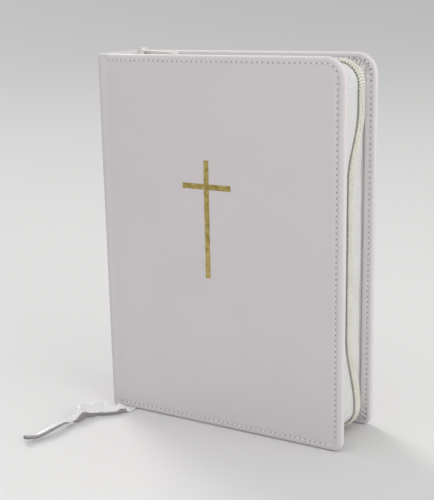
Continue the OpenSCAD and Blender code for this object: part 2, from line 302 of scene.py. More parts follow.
# ---------------------------------------------------------------- ribbon marker, its free end first
RIBBON_ROUTE = [
    (-54, -15.5, 0.45), (-54, -19, 0.5), (-54, -24, 1.2), (-55.5, -28.5, 2.5), (-59, -32, 3),
    (-62.5, -35, 3), (-65, -39.5, 2.5), (-66, -45, 2.5), (-67, -50, 2.5), (-67.5, -56, 3),
    (-68, -62, 3), (-69, -68, 2.5), (-70.5, -72.5, 2), (-72.5, -76, 2.5), (-74, -78, 3)]
RIBBON_W = 9 * MM
RIBBON_T = 0.28 * MM


def ribbon_section(center, tangent, tilt, front, back, fold):
    """Points over a ribbon's width and back underneath: tilted, with its two edges folded down."""
    side = np.cross(tangent, (0, 0, 1))
    side /= np.linalg.norm(side)
    top = np.cross(side, tangent)
    v = np.linspace(-0.5, 0.5, 33)
    slope = (tilt + front * (1 - smooth_step(v, fold - 0.10, fold + 0.10))
             - back * smooth_step(v, fold + 0.22, fold + 0.46))
    step = RIBBON_W / 32
    mid = (slope[1:] + slope[:-1]) / 2
    flat = np.concatenate([[0], np.cumsum(np.cos(mid))]) * step
    lift = np.concatenate([[0], np.cumsum(np.sin(mid))]) * step
    flat, lift = flat - flat.mean(), lift - lift.mean()
    nf, nl = -np.sin(slope) * RIBBON_T / 2, np.cos(slope) * RIBBON_T / 2
    rows = list(zip(flat + nf, lift + nl)) + list(zip((flat - nf)[::-1], (lift - nl)[::-1]))
    return [center + side * f + top * h for f, h in rows]


# Each row: run in millimetres, tilt, front fold, back fold in degrees, place of the fold
RIBBON_FOLDS = [
    (0, 0, 0, 0, 0), (5, 0, 0, 0, -0.2), (8, 6, 45, 0, -0.22),
    (10, 22, 85, 60, -0.22), (12, 10, 80, 90, -0.16),
    (14, 16, 85, 20, -0.24), (18, 24, 84, 0, -0.24), (24, 26, 86, 0, -0.20), (28, 24, 84, 0, -0.14),
    (31, 34, 76, 10, 0.0), (33, 44, 50, 60, 0.04), (35, 34, 60, 130, -0.06), (38, 12, 130, 130, -0.16),
    (41, 34, 150, 160, -0.05), (44, 16, 165, 165, -0.1), (50, 12, 160, 160, -0.12), (58, 8, 160, 150, -0.12),
    (64, 4, 160, 155, -0.12), (72, 0, 160, 160, -0.12)]


def ribbon_tail():
    """The free end: it leaves flat, turns over twice and lies crumpled on the table."""
    count = 150
    line, length = spline(np.array(RIBBON_ROUTE) * MM, count)
    tangent = np.gradient(line, axis=0)
    tangent /= np.linalg.norm(tangent, axis=1)[:, None]
    run = np.linspace(0, length, count) / MM
    table = np.array(RIBBON_FOLDS, float)
    tilt, front, back, fold = (np.interp(run, table[:, 0], table[:, k]) for k in (1, 2, 3, 4))
    free = smooth_step(run, 6, 14)
    tilt = tilt + free * (3 * np.sin(run * 0.9) + 1.5 * np.sin(run * 2.1 + 1))
    front = front + free * 5 * np.sin(run * 1.3 + 2)
    window = np.hanning(7) / np.hanning(7).sum()
    tilt, front, back, fold = (np.convolve(np.pad(a, 3, "edge"), window, "valid")
                               for a in (tilt, front, back, fold))
    rings, uv = [], []
    for i in range(count):
        ring = ribbon_section(line[i], tangent[i], math.radians(tilt[i]), math.radians(front[i]),
                              math.radians(back[i]), fold[i])
        low = min(p[2] for p in ring)
        settle = max(0, 0.15 * MM - low)
        ring = [p + np.array((0, 0, settle)) for p in ring]
        rings.append(ring)
        n = len(ring)
        # From about 8 mm along the run, the UV across is shifted so that v = 0 lies on the fold: the satin
        # paints shade on the part below it.
        begun = float(smooth_step(run[i], 7.5, 9.5))
        shade = (fold[i] + 0.14 * float(smooth_step(run[i], 40, 46))) * begun - 0.6 * (1 - begun)
        uv += [(run[i] * MM, ((k if k < n / 2 else n - 1 - k) / (n / 2 - 1) - 0.5 - shade) * RIBBON_W)
               for k in range(n)]
    obj = tube_mesh("ribbon_marker_tail", rings, SATIN, uv)
    obj.data.materials.append(SATIN_PAINTED_SHADE)
    # The underside half of each ring takes the darker satin copy, which is painted shade for the underside.
    around = len(rings[0])
    for face in obj.data.polygons[:(count - 1) * around]:
        face.material_index = int(face.index % around >= around // 2)
    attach(obj, "front_cover")
    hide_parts("ribbon_tail")
    return obj


ribbon_tail()

# ---------------------------------------------------------------- more materials
def thread_material(name="thread", base=(0.86, 0.855, 0.87)):
    """Polyester sewing thread with a twist."""
    s = Shader(name, base, 0.5)
    twist = s.node("TexWave", {"Vector": s.place(), "Scale": 900.0, "Distortion": 1.0},
                   bands_direction="DIAGONAL").outputs["Fac"]
    s.color(s.ramp(twist, [(0.1, tuple(c * 0.8 for c in base)), (0.6, base)]))
    s.bump(twist, 0.00008, 0.6)
    s.set("Sheen Weight", 0.2)
    return s.material


def hole_shade_material():
    """Painted shade of the needle hole at a stitch's end: a dark colour for the shadow inside the hole."""
    s = Shader("needle_hole_painted_shade", (0.16, 0.14, 0.16), 0.9)
    fade = s.noise(s.place(), 1500.0, 2.0)
    s.color(s.ramp(fade, [(0.3, (0.19, 0.165, 0.18)), (0.8, (0.33, 0.29, 0.31))]))
    return s.material


def tape_material():
    """Woven zip tape: ribs along the zip crossed by fine picks, with painted shade on the edge that goes into
    the crevice at the cover.
    """
    s = Shader("zip_tape", (0.78, 0.78, 0.765), 0.72)
    along = s.along()
    ribs = s.node("TexWave", {"Vector": along, "Scale": 330.0, "Distortion": 0.4, "Detail": 1.0},
                  bands_direction="Y").outputs["Fac"]
    picks = s.node("TexWave", {"Vector": along, "Scale": 420.0, "Distortion": 0.5, "Detail": 1.0},
                   bands_direction="X").outputs["Fac"]
    weave = s.math("MULTIPLY", ribs, picks)
    broad = s.noise(s.place(), 60.0, 3.0)
    tone = s.math("ADD", s.math("MULTIPLY", weave, 0.6), s.math("MULTIPLY", broad, 0.4))
    reach = s.node("SeparateXYZ", {"Vector": along}).outputs["Y"]
    # Painted shade: within 0.9 to 1.7 mm of the cover's inner face the tape's colour runs down to near black,
    # for the shadow of the crevice.
    painted_crevice_shade = s.range(reach, 0.9 * MM, 1.7 * MM, 0.9, 0.0)
    s.color(s.ramp(s.math("SUBTRACT", tone, painted_crevice_shade),
                   [(0.0, (0.13, 0.125, 0.135)), (0.12, (0.62, 0.625, 0.62)), (0.55, (0.79, 0.79, 0.775))]))
    s.bump(ribs, 0.00022, 0.8)
    s.bump(picks, 0.00012, 0.6)
    s.set("Sheen Weight", 0.2)
    return s.material


def coil_material():
    """Cream nylon monofilament, a little translucent and glossy."""
    s = Shader("zip_coil", (0.83, 0.81, 0.73), 0.34)
    tone = s.noise(s.place(), 180.0, 2.0)
    s.color(s.ramp(tone, [(0.3, (0.78, 0.76, 0.67)), (0.7, (0.87, 0.855, 0.78))]))
    s.bump(s.noise(s.place(), 2500.0, 2.0), 0.00003, 0.3)
    s.set("Subsurface Weight", 0.12)
    s.set("Subsurface Radius", (0.0006, 0.0005, 0.0004))
    return s.material


def foil_material():
    """Gold stamping foil pressed into leather: warm metal, broken by the grain and worn in spots."""
    s = Shader("gold_foil", (0.52, 0.40, 0.13), 0.36, 0.9)
    place = s.place()
    grain = s.cells(place, 1300.0, "SMOOTH_F1")
    mottle = s.noise(place, 420.0, 4.0, 0.65)
    broad = s.noise(place, 70.0, 2.0)
    s.color(s.ramp(s.math("ADD", s.math("MULTIPLY", mottle, 0.7), s.math("MULTIPLY", broad, 0.35)),
                   [(0.32, (0.20, 0.15, 0.045)), (0.5, (0.46, 0.35, 0.11)), (0.72, (0.72, 0.60, 0.28))]))
    s.rough(s.range(mottle, 0.3, 0.7, 0.24, 0.5))
    s.bump(grain, 0.00008, 0.7)
    s.bump(mottle, 0.00006, 0.6)
    return s.material


def paper_material(name, base, lines=0.0):
    """Thin book paper; with lines it shows the edges of single leaves."""
    s = Shader(name, base, 0.85)
    fibre = s.noise(s.place(), 900.0, 4.0, 0.6)
    broad = s.noise(s.place(), 30.0, 2.0)
    tone = s.math("ADD", s.math("MULTIPLY", fibre, 0.35), s.math("MULTIPLY", broad, 0.4))
    if lines:
        along = s.along()
        leaves = s.node("TexWave", {"Vector": along, "Scale": lines, "Distortion": 1.2, "Detail": 2.0,
                                    "Detail Scale": 3.0}, bands_direction="Y").outputs["Fac"]
        tone = s.math("ADD", tone, s.math("MULTIPLY", leaves, 0.35))
        s.bump(leaves, 0.0001, 0.6)
    s.color(s.ramp(tone, [(0.2, tuple(c * 0.82 for c in base)), (0.7, base)]))
    s.bump(fibre, 0.00003, 0.3)
    return s.material


def board_material():
    """Grey binder board, seen only where a cover is taken apart."""
    s = Shader("binder_board", (0.42, 0.40, 0.37), 0.9)
    flecks = s.noise(s.place(), 700.0, 5.0, 0.7)
    s.color(s.ramp(flecks, [(0.3, (0.33, 0.31, 0.29)), (0.7, (0.50, 0.48, 0.45))]))
    s.bump(flecks, 0.0001, 0.4)
    return s.material


def enamel_material():
    """White enamel on the slider, thinner and warmer at worn spots."""
    s = Shader("white_enamel", (0.80, 0.79, 0.74), 0.25)
    wear = s.noise(s.place(), 300.0, 4.0, 0.6)
    s.color(s.ramp(wear, [(0.25, (0.62, 0.60, 0.53)), (0.45, (0.80, 0.79, 0.74)), (0.8, (0.84, 0.83, 0.79))]))
    s.rough(s.range(wear, 0.2, 0.8, 0.34, 0.2))
    s.bump(wear, 0.00005, 0.3)
    s.set("Coat Weight", 0.3)
    s.set("Coat Roughness", 0.12)
    return s.material


def gauze_material():
    """Glued mull on the back of the leaves."""
    s = Shader("mull", (0.72, 0.69, 0.58), 0.85)
    net_x = s.node("TexWave", {"Vector": s.place(), "Scale": 300.0}, bands_direction="Y").outputs["Fac"]
    net_z = s.node("TexWave", {"Vector": s.place(), "Scale": 300.0}, bands_direction="Z").outputs["Fac"]
    net = s.math("MULTIPLY", net_x, net_z)
    s.color(s.ramp(net, [(0.1, (0.58, 0.54, 0.42)), (0.7, (0.76, 0.73, 0.63))]))
    s.bump(net, 0.0002, 0.6)
    return s.material


def band_material():
    """Head band: white cotton wound over a core."""
    s = Shader("head_band", (0.80, 0.80, 0.78), 0.7)
    winding = s.node("TexWave", {"Vector": s.place(), "Scale": 260.0, "Distortion": 0.5},
                     bands_direction="Y").outputs["Fac"]
    s.color(s.ramp(winding, [(0.1, (0.60, 0.60, 0.58)), (0.6, (0.84, 0.84, 0.82))]))
    s.bump(winding, 0.0003, 0.8)
    return s.material


LEATHER = leather_material()
INNER_LEATHER = leather_material("lining_leather", (0.77, 0.735, 0.74))
THREAD = thread_material()
SEWING = thread_material("coil_thread", (0.86, 0.85, 0.79))
HOLE_SHADE = hole_shade_material()
TAPE = tape_material()
COIL = coil_material()
FOIL = foil_material()
ENDPAPER = paper_material("endpaper", (0.84, 0.81, 0.74))
LEAVES = paper_material("book_paper", (0.82, 0.78, 0.68), 1500.0)
BOARD = board_material()
ENAMEL = enamel_material()
MULL = gauze_material()
BAND = band_material()

# ---------------------------------------------------------------- outline of a cover
R_HEAD = 10 * MM
R_TAIL = 5 * MM
ROLL = COVER_T / 2
SPINE_R = 3 * MM
WRAP_X = X_SPINE + SPINE_R
WRAP_LEN = SPINE_R * math.pi / 2
SPINE_LAP = 3 * MM
S_START = WRAP_X - WRAP_LEN - SPINE_LAP
LEATHER_T = 1.1 * MM
SMALL_R = 0.8 * MM
SEAM_IN_X, SEAM_IN_Z = 4 * MM, 3 * MM
SEAM_START = X_HINGE + 0.4 * MM
INNER_SEAM_IN = 2.7 * MM


def outline_at(station, inset):
    """Point and outward direction on the cover's outline at an inset. Stations are (part, value)."""
    part, value = station
    tail_r, head_r = max(R_TAIL - inset, SMALL_R), max(R_HEAD - inset, SMALL_R)
    x1, z0, z1 = X_FORE - inset, inset, BOOK_H - inset
    if part == "tail":
        return S_START + value * (x1 - tail_r - S_START), z0, 0.0, -1.0
    if part == "head":
        return S_START + value * (x1 - head_r - S_START), z1, 0.0, 1.0
    if part == "fore":
        return x1, z0 + tail_r + value * (z1 - head_r - z0 - tail_r), 1.0, 0.0
    c, s = math.cos(value), math.sin(value)
    if part == "tail_arc":
        return x1 - tail_r + tail_r * c, z0 + tail_r + tail_r * s, c, s
    return x1 - head_r + head_r * c, z1 - head_r + head_r * s, c, s


def graded(low, high, fine, coarse, fine_low, fine_high):
    """Places from low to high, fine within fine_low of the start and fine_high of the end."""
    places = [low]
    while places[-1] < high - 1e-9:
        near = min(max(0, places[-1] - low - fine_low), max(0, high - fine_high - places[-1]))
        step = fine + (coarse - fine) * min(1, near / (8 * MM))
        places.append(min(high, places[-1] + step))
    if places[-1] - places[-2] < fine * 0.4:
        del places[-2]
    return places


ARC_STEPS = 16
EIGHTH = math.pi / 4  # an eighth of a turn
tail_run = X_FORE - R_TAIL - S_START
along_x = graded(S_START, X_FORE - R_TAIL, 0.8 * MM, 3.2 * MM, 14 * MM, 0)
TAIL_STATIONS = ([("tail", (x - S_START) / tail_run) for x in along_x]
                 + [("tail_arc", -2 * EIGHTH + EIGHTH * k / ARC_STEPS) for k in range(1, ARC_STEPS + 1)])
HEAD_STATIONS = ([("head", (x - S_START) / tail_run) for x in along_x]
                 + [("head_arc", 2 * EIGHTH - EIGHTH * k / ARC_STEPS) for k in range(1, ARC_STEPS + 1)])
fore_steps = 60
FORE_STATIONS = ([("tail_arc", -EIGHTH + EIGHTH * k / ARC_STEPS) for k in range(ARC_STEPS)]
                 + [("fore", k / fore_steps) for k in range(fore_steps + 1)]
                 + [("head_arc", EIGHTH * k / ARC_STEPS) for k in range(1, ARC_STEPS + 1)])
EDGE_STATIONS = TAIL_STATIONS[:-1] + FORE_STATIONS + HEAD_STATIONS[-2::-1]


def refined(stations, parts):
    """The same stations with parts - 1 more between each two."""
    fine = []
    for here, ahead in zip(stations, stations[1:]):
        if here[0] == ahead[0]:
            fine += [(here[0], here[1] + (ahead[1] - here[1]) * k / parts) for k in range(parts)]
            continue
        starts = {("tail", "tail_arc"): -2 * EIGHTH, ("tail_arc", "fore"): 0.0,
                  ("fore", "head_arc"): 0.0, ("head_arc", "head"): 2 * EIGHTH}
        edge = starts[(here[0], ahead[0])]
        if ahead[0].endswith("arc"):
            fine.append(here)
            fine += [(ahead[0], edge + (ahead[1] - edge) * k / parts) for k in range(1, parts)]
        else:
            fine += [(here[0], here[1] + (edge - here[1]) * k / parts) for k in range(parts)]
    return fine + [stations[-1]]


def roll_radius(s):
    """Half the thickness of the cover's edge: full at the board, thin at the hinge, a cap on the spine."""
    s = np.asarray(s, float)
    board = smooth_step(s, X_HINGE + 1 * MM, X_BOARD)
    cap = smooth_step(s, WRAP_X, WRAP_X - 4 * MM)
    return 0.6 * MM + (ROLL - 0.6 * MM) * board + 1.4 * MM * cap


def unroll(s, y_rise):
    """Place and outward direction of the leather's outer face at s along its section, raised by y_rise."""
    s, y_rise = np.asarray(s, float), np.asarray(y_rise, float)
    angle = np.clip((WRAP_X - s) / SPINE_R, 0, math.pi / 2)
    past = np.clip(WRAP_X - WRAP_LEN - s, 0, None)
    flat = np.clip(s - WRAP_X, 0, None)
    nx, ny = -np.sin(angle), -np.cos(angle)
    x = WRAP_X + flat + SPINE_R * nx + y_rise * nx
    y = -Y_OUT + SPINE_R + SPINE_R * ny + past + y_rise * ny
    return x, y, nx, ny


def edge_distance(x, z, in_x, in_z, r_head, r_tail):
    """Distance inwards from a rounded outline set in by in_x and in_z."""
    dx = X_FORE - in_x - x
    dz = np.minimum(z - in_z, BOOK_H - in_z - z)
    r = np.where(z > BOOK_H / 2, r_head, r_tail)
    corner = r - np.hypot(np.maximum(r - dx, 0), np.maximum(r - dz, 0))
    return np.where((dx < r) & (dz < r), corner, np.minimum(dx, dz))


def face_relief(x, z):
    """How far the outer face stands out: a soft crown, a pressed seam and a joint beside the spine."""
    edge = edge_distance(x, z, 0, 0, R_HEAD, R_TAIL)
    seam = edge_distance(x, z, SEAM_IN_X, SEAM_IN_Z, 6 * MM, 2.5 * MM)
    on = smooth_step(x, SEAM_START - 3 * MM, SEAM_START)
    across = np.clip((x - X_HINGE) / (X_FORE - X_HINGE), 0, 1)
    crown = 0.30 * MM * np.sin(math.pi * across) * np.sin(math.pi * np.clip(z / BOOK_H, 0, 1))
    pressed = -0.30 * MM * np.exp(-(seam / (0.75 * MM)) ** 2) * on
    puff = 0.16 * MM * np.sin(math.pi * np.clip((edge - ROLL) / (2.2 * MM), 0, 1)) * on
    joint = -0.22 * MM * np.exp(-((x - X_HINGE - 1.8 * MM) / (2.4 * MM)) ** 2)
    rise = smooth_step(edge, ROLL, ROLL + 1.2 * MM)
    return (crown * rise + pressed + puff + joint * smooth_step(edge, 0.5 * MM, 3 * MM))


def coons(bottom, top, left, right, a, b):
    """A grid that fills four boundary curves, rows of b by columns of a."""
    a, b = a[None, :, None], b[:, None, None]
    ruled_b = (1 - b) * bottom[None] + b * top[None]
    ruled_a = (1 - a) * left[:, None] + a * right[:, None]
    corners = ((1 - a) * (1 - b) * bottom[0] + a * (1 - b) * bottom[-1]
               + (1 - a) * b * top[0] + a * b * top[-1])
    return ruled_b + ruled_a - corners


def cover_leather(side):
    """One cover's leather: outer face, joint, wrap on to the spine, and the rolled edge."""
    at = lambda stations: np.array([outline_at(st, ROLL) for st in stations])
    bottom, top, right = at(TAIL_STATIONS), at(HEAD_STATIONS), at(FORE_STATIONS)
    a = (bottom[:, 0] - bottom[0, 0]) / (bottom[-1, 0] - bottom[0, 0])
    b = (right[:, 1] - right[0, 1]) / (right[-1, 1] - right[0, 1])
    count = len(right)
    near = 5.5 * MM
    ends = np.linspace(0, near, ARC_STEPS + 1)
    middle = np.linspace(near, BOOK_H - 2 * ROLL - near, count - 2 * ARC_STEPS)
    left_z = ROLL + np.concatenate([ends[:-1], middle, BOOK_H - 2 * ROLL - ends[:-1][::-1]])
    left = np.column_stack([np.full(count, S_START), left_z])
    grid = coons(bottom[:, :2], top[:, :2], left, right[:, :2], a, b)
    s, z = grid[..., 0], grid[..., 1]
    rho = roll_radius(s)
    z_fit = rho + (z - ROLL) * (BOOK_H - 2 * rho) / (BOOK_H - 2 * ROLL)
    x, y, _, _ = unroll(s, face_relief(s, z))
    points = [np.stack([x, y, z_fit], -1).reshape(-1, 3)]
    rows, columns = s.shape
    faces = grid_faces(rows, columns)

    edge = at(EDGE_STATIONS)
    index = ([(0, j) for j in range(columns - 1)] + [(i, columns - 1) for i in range(rows)]
             + [(rows - 1, j) for j in range(columns - 2, -1, -1)])
    ex, ey, nx, ny = unroll(edge[:, 0], 0)
    rho = roll_radius(edge[:, 0])
    ez = np.array([z_fit[i, j] for i, j in index])
    previous = [i * columns + j for i, j in index]
    for phi in np.linspace(0, math.pi, 11)[1:]:
        out, deep = rho * math.sin(phi), rho * (1 - math.cos(phi))
        ring = np.column_stack([ex - nx * deep + edge[:, 2] * out * -ny, ey - ny * deep,
                                ez + edge[:, 3] * out])
        first = sum(len(p) for p in points)
        points.append(ring)
        current = list(range(first, first + len(ring)))
        faces += [(previous[k + 1], previous[k], current[k], current[k + 1]) for k in range(len(ring) - 1)]
        previous = current
    points = np.vstack(points)
    points[:, 1] *= -side
    faces = [f[::-1] for f in faces] if side == BACK else faces
    name = "front" if side == FRONT else "back"
    obj = add_mesh(name + "_cover_leather", points, faces, LEATHER)
    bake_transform(obj)
    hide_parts(name + "_leather")
    return obj


PLEATS = {"tail_arc": (-8.0, -4.6, -2.2, -0.4, 1.3, 3.4, 6.4),
          "head_arc": (-9.5, -6.2, -3.9, -2.0, -0.3, 1.6, 3.7, 6.5, 9.8)}


def pleat_depth(station, inset):
    """Creases where the turned-in leather gathers round a corner, at millimetres along the outline."""
    part, value = station
    tail_r, head_r = max(R_TAIL - ROLL, SMALL_R), max(R_HEAD - ROLL, SMALL_R)
    fore_len = (BOOK_H - R_HEAD - R_TAIL) / MM
    if part in ("tail", "tail_arc"):
        r = tail_r / MM
        straight = (value * tail_run - tail_run) / MM
        run = straight - r * EIGHTH if part == "tail" else r * (value + EIGHTH)
        centers = PLEATS["tail_arc"]
    elif part in ("head", "head_arc"):
        r = head_r / MM
        straight = (tail_run * (1 - value) - (R_HEAD - R_TAIL)) / MM
        run = straight + r * EIGHTH if part == "head" else r * (value - EIGHTH)
        centers = PLEATS["head_arc"]
    elif value < 0.5:
        run, centers = value * fore_len + tail_r / MM * EIGHTH, PLEATS["tail_arc"]
    else:
        run, centers = (value - 1) * fore_len - head_r / MM * EIGHTH, PLEATS["head_arc"]
    depth = 0.0
    for k, center in enumerate(centers):
        gap = (run - center) / (0.42 + 0.1 * (k % 3))
        strength = 1.0 if abs(center) < 5 else 0.55
        depth += strength * math.exp(-abs(gap) ** 1.6)
    return depth * float(smooth_step(inset, ROLL, ROLL + 1.6 * MM))


def cover_rim(side):
    """The turned-in rim on the inner side of a cover, pleated round its corners."""
    stations = refined(EDGE_STATIONS, 3)
    name = "front" if side == FRONT else "back"
    levels = [(ROLL, 0.0), (ROLL + 0.3 * MM, 0.05), (2.2 * MM, 0.04), (2.45 * MM, -0.06), (2.7 * MM, -0.12),
              (2.95 * MM, -0.06), (3.3 * MM, 0.06), (3.8 * MM, 0.16), (4.3 * MM, 0.24), (4.8 * MM, 0.30),
              (5.2 * MM, 0.30), (5.5 * MM, 0.22), (5.7 * MM, 0.05), (5.8 * MM, -0.25), (5.82 * MM, -0.8)]
    rings = []
    for inset, rise in levels:
        ring = []
        for station in stations:
            s, z = outline_at(station, inset)[:2]
            rho = float(roll_radius(outline_at(station, ROLL)[0]))
            inner = inset - ROLL + rho
            if station[0] in ("tail", "head"):
                z = inner if station[0] == "tail" else BOOK_H - inner
            lift = rise * MM - 0.85 * MM * pleat_depth(station, inset)
            x, y, nx, ny = unroll(s, 0)
            deep = 2 * rho + lift
            ring.append((float(x - nx * deep), float(y - ny * deep), z))
        rings.append(ring)
    points = np.array(rings).reshape(-1, 3)
    points[:, 1] *= -side
    faces = grid_faces(len(levels), len(stations), flip=(side == FRONT))
    obj = add_mesh(name + "_rim", points, faces, LEATHER)
    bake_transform(obj)
    return obj


def hinge_lining(side):
    """The inner face of the soft hinge, from inside the spine to the edge of the board."""
    name = "front" if side == FRONT else "back"
    across = np.linspace(WRAP_X - 1.5 * MM, X_BOARD + 1.5 * MM, 16)
    up = np.linspace(4.5 * MM, BOOK_H - 4.5 * MM, 30)
    points = []
    for z in up:
        for s in across:
            x, y, nx, ny = unroll(s, 0)
            board = float(smooth_step(s, X_BOARD - 1.5 * MM, X_BOARD + 0.3 * MM))
            deep = LEATHER_T + (COVER_T - LEATHER_T + 0.05 * MM) * board
            points.append((float(x - nx * deep), side * -float(y - ny * deep), z))
    faces = grid_faces(len(up), len(across), flip=(side == FRONT))
    obj = add_mesh(name + "_hinge_lining", points, faces, INNER_LEATHER)
    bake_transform(obj)


def spine_leather():
    """The spine between the two covers' wraps, slightly rounded, with rolled caps."""
    half = Y_OUT - SPINE_R - SPINE_LAP
    cap = float(roll_radius(S_START))
    across = np.linspace(-half, half, 41)
    bulge = 0.5 * MM * np.cos(across / half * math.pi / 2) ** 2
    up = np.linspace(cap, BOOK_H - cap, 40)
    rows = []
    for phi in np.linspace(math.pi, 0, 11)[:-1]:
        rows.append([(X_SPINE - b + cap * (1 - math.cos(phi)), y, cap - cap * math.sin(phi))
                     for y, b in zip(across, bulge)])
    for z in up:
        rows.append([(X_SPINE - b, y, z) for y, b in zip(across, bulge)])
    for phi in np.linspace(0, math.pi, 11)[1:]:
        rows.append([(X_SPINE - b + cap * (1 - math.cos(phi)), y, BOOK_H - cap + cap * math.sin(phi))
                     for y, b in zip(across, bulge)])
    inner = 2 * cap
    for z in (BOOK_H - 6 * MM, 6 * MM):
        rows.append([(X_SPINE - b + inner, y, z) for y, b in zip(across, bulge)])
    rows.append(rows[0])
    obj = add_mesh("spine_cover_leather", np.array(rows).reshape(-1, 3),
                   grid_faces(len(rows), len(across), flip=True), LEATHER)
    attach(obj, "spine")
    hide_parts("spine_leather")


# ---------------------------------------------------------------- seam
def seam_path(in_x, in_z, r_head, r_tail, pitch):
    """Places and directions of stitches from the head beside the spine round to the tail."""
    x1, z0, z1 = X_FORE - in_x, in_z, BOOK_H - in_z
    path = [(SEAM_START, z1)]
    path += [(x1 - r_head + r_head * math.sin(a), z1 - r_head + r_head * math.cos(a))
             for a in np.linspace(0, math.pi / 2, 16)]
    path += [(x1 - r_tail + r_tail * math.cos(a), z0 + r_tail - r_tail * math.sin(a))
             for a in np.linspace(0, math.pi / 2, 8)]
    path.append((SEAM_START, z0))
    path = np.array(path)
    run = np.concatenate([[0], np.cumsum(np.linalg.norm(np.diff(path, axis=0), axis=1))])
    count = int(run[-1] / pitch)
    def at(distance):
        return np.array([np.interp(distance, run, path[:, k]) for k in (0, 1)])
    middles = [(k + 0.5) * run[-1] / count for k in range(count)]
    return [(at(m), at(m + 0.3 * MM) - at(m - 0.3 * MM)) for m in middles], run[-1] / count


def capsule(center, direction, normal, length, radius, steps=6, sides=7):
    """Rings of one stitch: a thread that dips into the leather at both ends."""
    direction = direction / np.linalg.norm(direction)
    across = np.cross(normal, direction)
    rings = []
    for t in np.linspace(-1, 1, steps + 1):
        bow = (1 - t ** 4)
        r = radius * (0.45 + 0.55 * math.sqrt(max(0, 1 - t ** 6)))
        middle = center + direction * t * length / 2 - normal * radius * 0.9 * (1 - bow)
        rings.append([middle + across * r * math.cos(a) + normal * r * math.sin(a)
                      for a in np.linspace(0, 2 * math.pi, sides, endpoint=False)])
    return rings


def seam(name, side, in_x, in_z, r_head, r_tail, y_at, normal_y, replaced):
    """A row of stitches, with the needle holes between them as shallow dark cones of painted shade."""
    stitches, pitch = seam_path(in_x, in_z, r_head, r_tail, 2.6 * MM)
    points, faces, hole_points, hole_faces = [], [], [], []
    radius = 0.27 * MM
    for place, heading in stitches:
        jitter = rng.uniform(-0.05, 0.05) * MM
        y = y_at(place[0], place[1])
        normal = np.array((0.0, normal_y, 0.0))
        center = np.array((place[0], y, place[1] + jitter)) + normal * 0.06 * MM
        direction = np.array((heading[0], 0.0, heading[1]))
        direction = direction / np.linalg.norm(direction)
        rings = capsule(center, direction, normal, pitch * 0.70, radius)
        first = len(points)
        sides = len(rings[0])
        points += [p for ring in rings for p in ring]
        faces += grid_faces(len(rings), sides, wrap=True, first=first, flip=normal_y < 0)
        across = np.cross(normal, direction)
        hole = center + direction * pitch / 2 + normal * 0.03 * MM
        first = len(hole_points)
        ring = [hole + across * 0.23 * MM * math.cos(a) + direction * 0.36 * MM * math.sin(a)
                for a in np.linspace(0, 2 * math.pi, 10, endpoint=False)]
        hole_points += ring + [hole - normal * 0.05 * MM]
        hole_faces += [(first + k, first + (k + 1) % 10, first + 10) for k in range(10)]
    body = "front_cover" if side == FRONT else "back_cover"
    thread = add_mesh(name, points, faces, THREAD)
    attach(thread, body)
    if replaced:
        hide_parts(replaced)
    # Each needle hole is a shallow cone in a dark colour, which is painted shade for the shadow inside it.
    holes = add_mesh(name + "_hole_shades", hole_points, hole_faces, HOLE_SHADE, smooth=False)
    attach(holes, body)


def add_seams():
    for side, name in ((FRONT, "front"), (BACK, "back")):
        outer_y = lambda x, z, side=side: side * (Y_OUT + float(face_relief(np.array(x), np.array(z))))
        seam(name + "_seam_outer", side, SEAM_IN_X, SEAM_IN_Z, 6 * MM, 2.5 * MM, outer_y, side,
             name + "_stitching")
        inner_y = lambda x, z, side=side: side * (Y_IN + 0.12 * MM)
        seam(name + "_seam_inner", side, INNER_SEAM_IN, INNER_SEAM_IN, 6.5 * MM, 2.5 * MM,
             inner_y, -side, None)


# ---------------------------------------------------------------- gold cross
def gold_cross():
    """The foil cross, one sheet lying 0.03 mm out from the leather's face rather than pressed into it, with
    slightly ragged edges.
    """
    low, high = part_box("gold_cross")
    stroke = 2.7 * MM
    x_mid, arm_z = (low.x + high.x) / 2, low.z + 44 * MM
    half = stroke / 2
    step = 0.45 * MM
    xs = sorted(set([x_mid - half, x_mid + half, x_mid]) | set(np.arange(low.x, high.x, step)) | {high.x})
    xs = [x for k, x in enumerate(xs)
          if k == 0 or x - xs[k - 1] > 0.1 * MM or x in (x_mid - half, x_mid + half)]
    zs = sorted(set([arm_z - half, arm_z + half, arm_z]) | set(np.arange(low.z, high.z, step)) | {high.z})
    zs = [z for k, z in enumerate(zs)
          if k == 0 or z - zs[k - 1] > 0.1 * MM or z in (arm_z - half, arm_z + half)]
    index, points, faces = {}, [], []
    eps = 1e-7
    def inside(x, z):
        return abs(x - x_mid) < half + eps or abs(z - arm_z) < half + eps
    def vertex(i, k):
        if (i, k) not in index:
            x, z = xs[i], zs[k]
            y = -(Y_OUT + float(face_relief(np.array(x), np.array(z)))) - 0.03 * MM
            index[(i, k)] = len(points)
            points.append((x + rng.uniform(-0.05, 0.05) * MM, y, z + rng.uniform(-0.05, 0.05) * MM))
        return index[(i, k)]
    for i in range(len(xs) - 1):
        for k in range(len(zs) - 1):
            cx, cz = (xs[i] + xs[i + 1]) / 2, (zs[k] + zs[k + 1]) / 2
            if inside(cx, cz):
                faces.append((vertex(i, k), vertex(i + 1, k), vertex(i + 1, k + 1), vertex(i, k + 1)))
    obj = add_mesh("gold_foil_cross", points, faces, FOIL)
    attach(obj, "front_cover")
    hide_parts("gold_cross")


cover_leather(FRONT)
cover_leather(BACK)
cover_rim(FRONT)
cover_rim(BACK)
hinge_lining(FRONT)
hinge_lining(BACK)
spine_leather()
add_seams()
gold_cross()

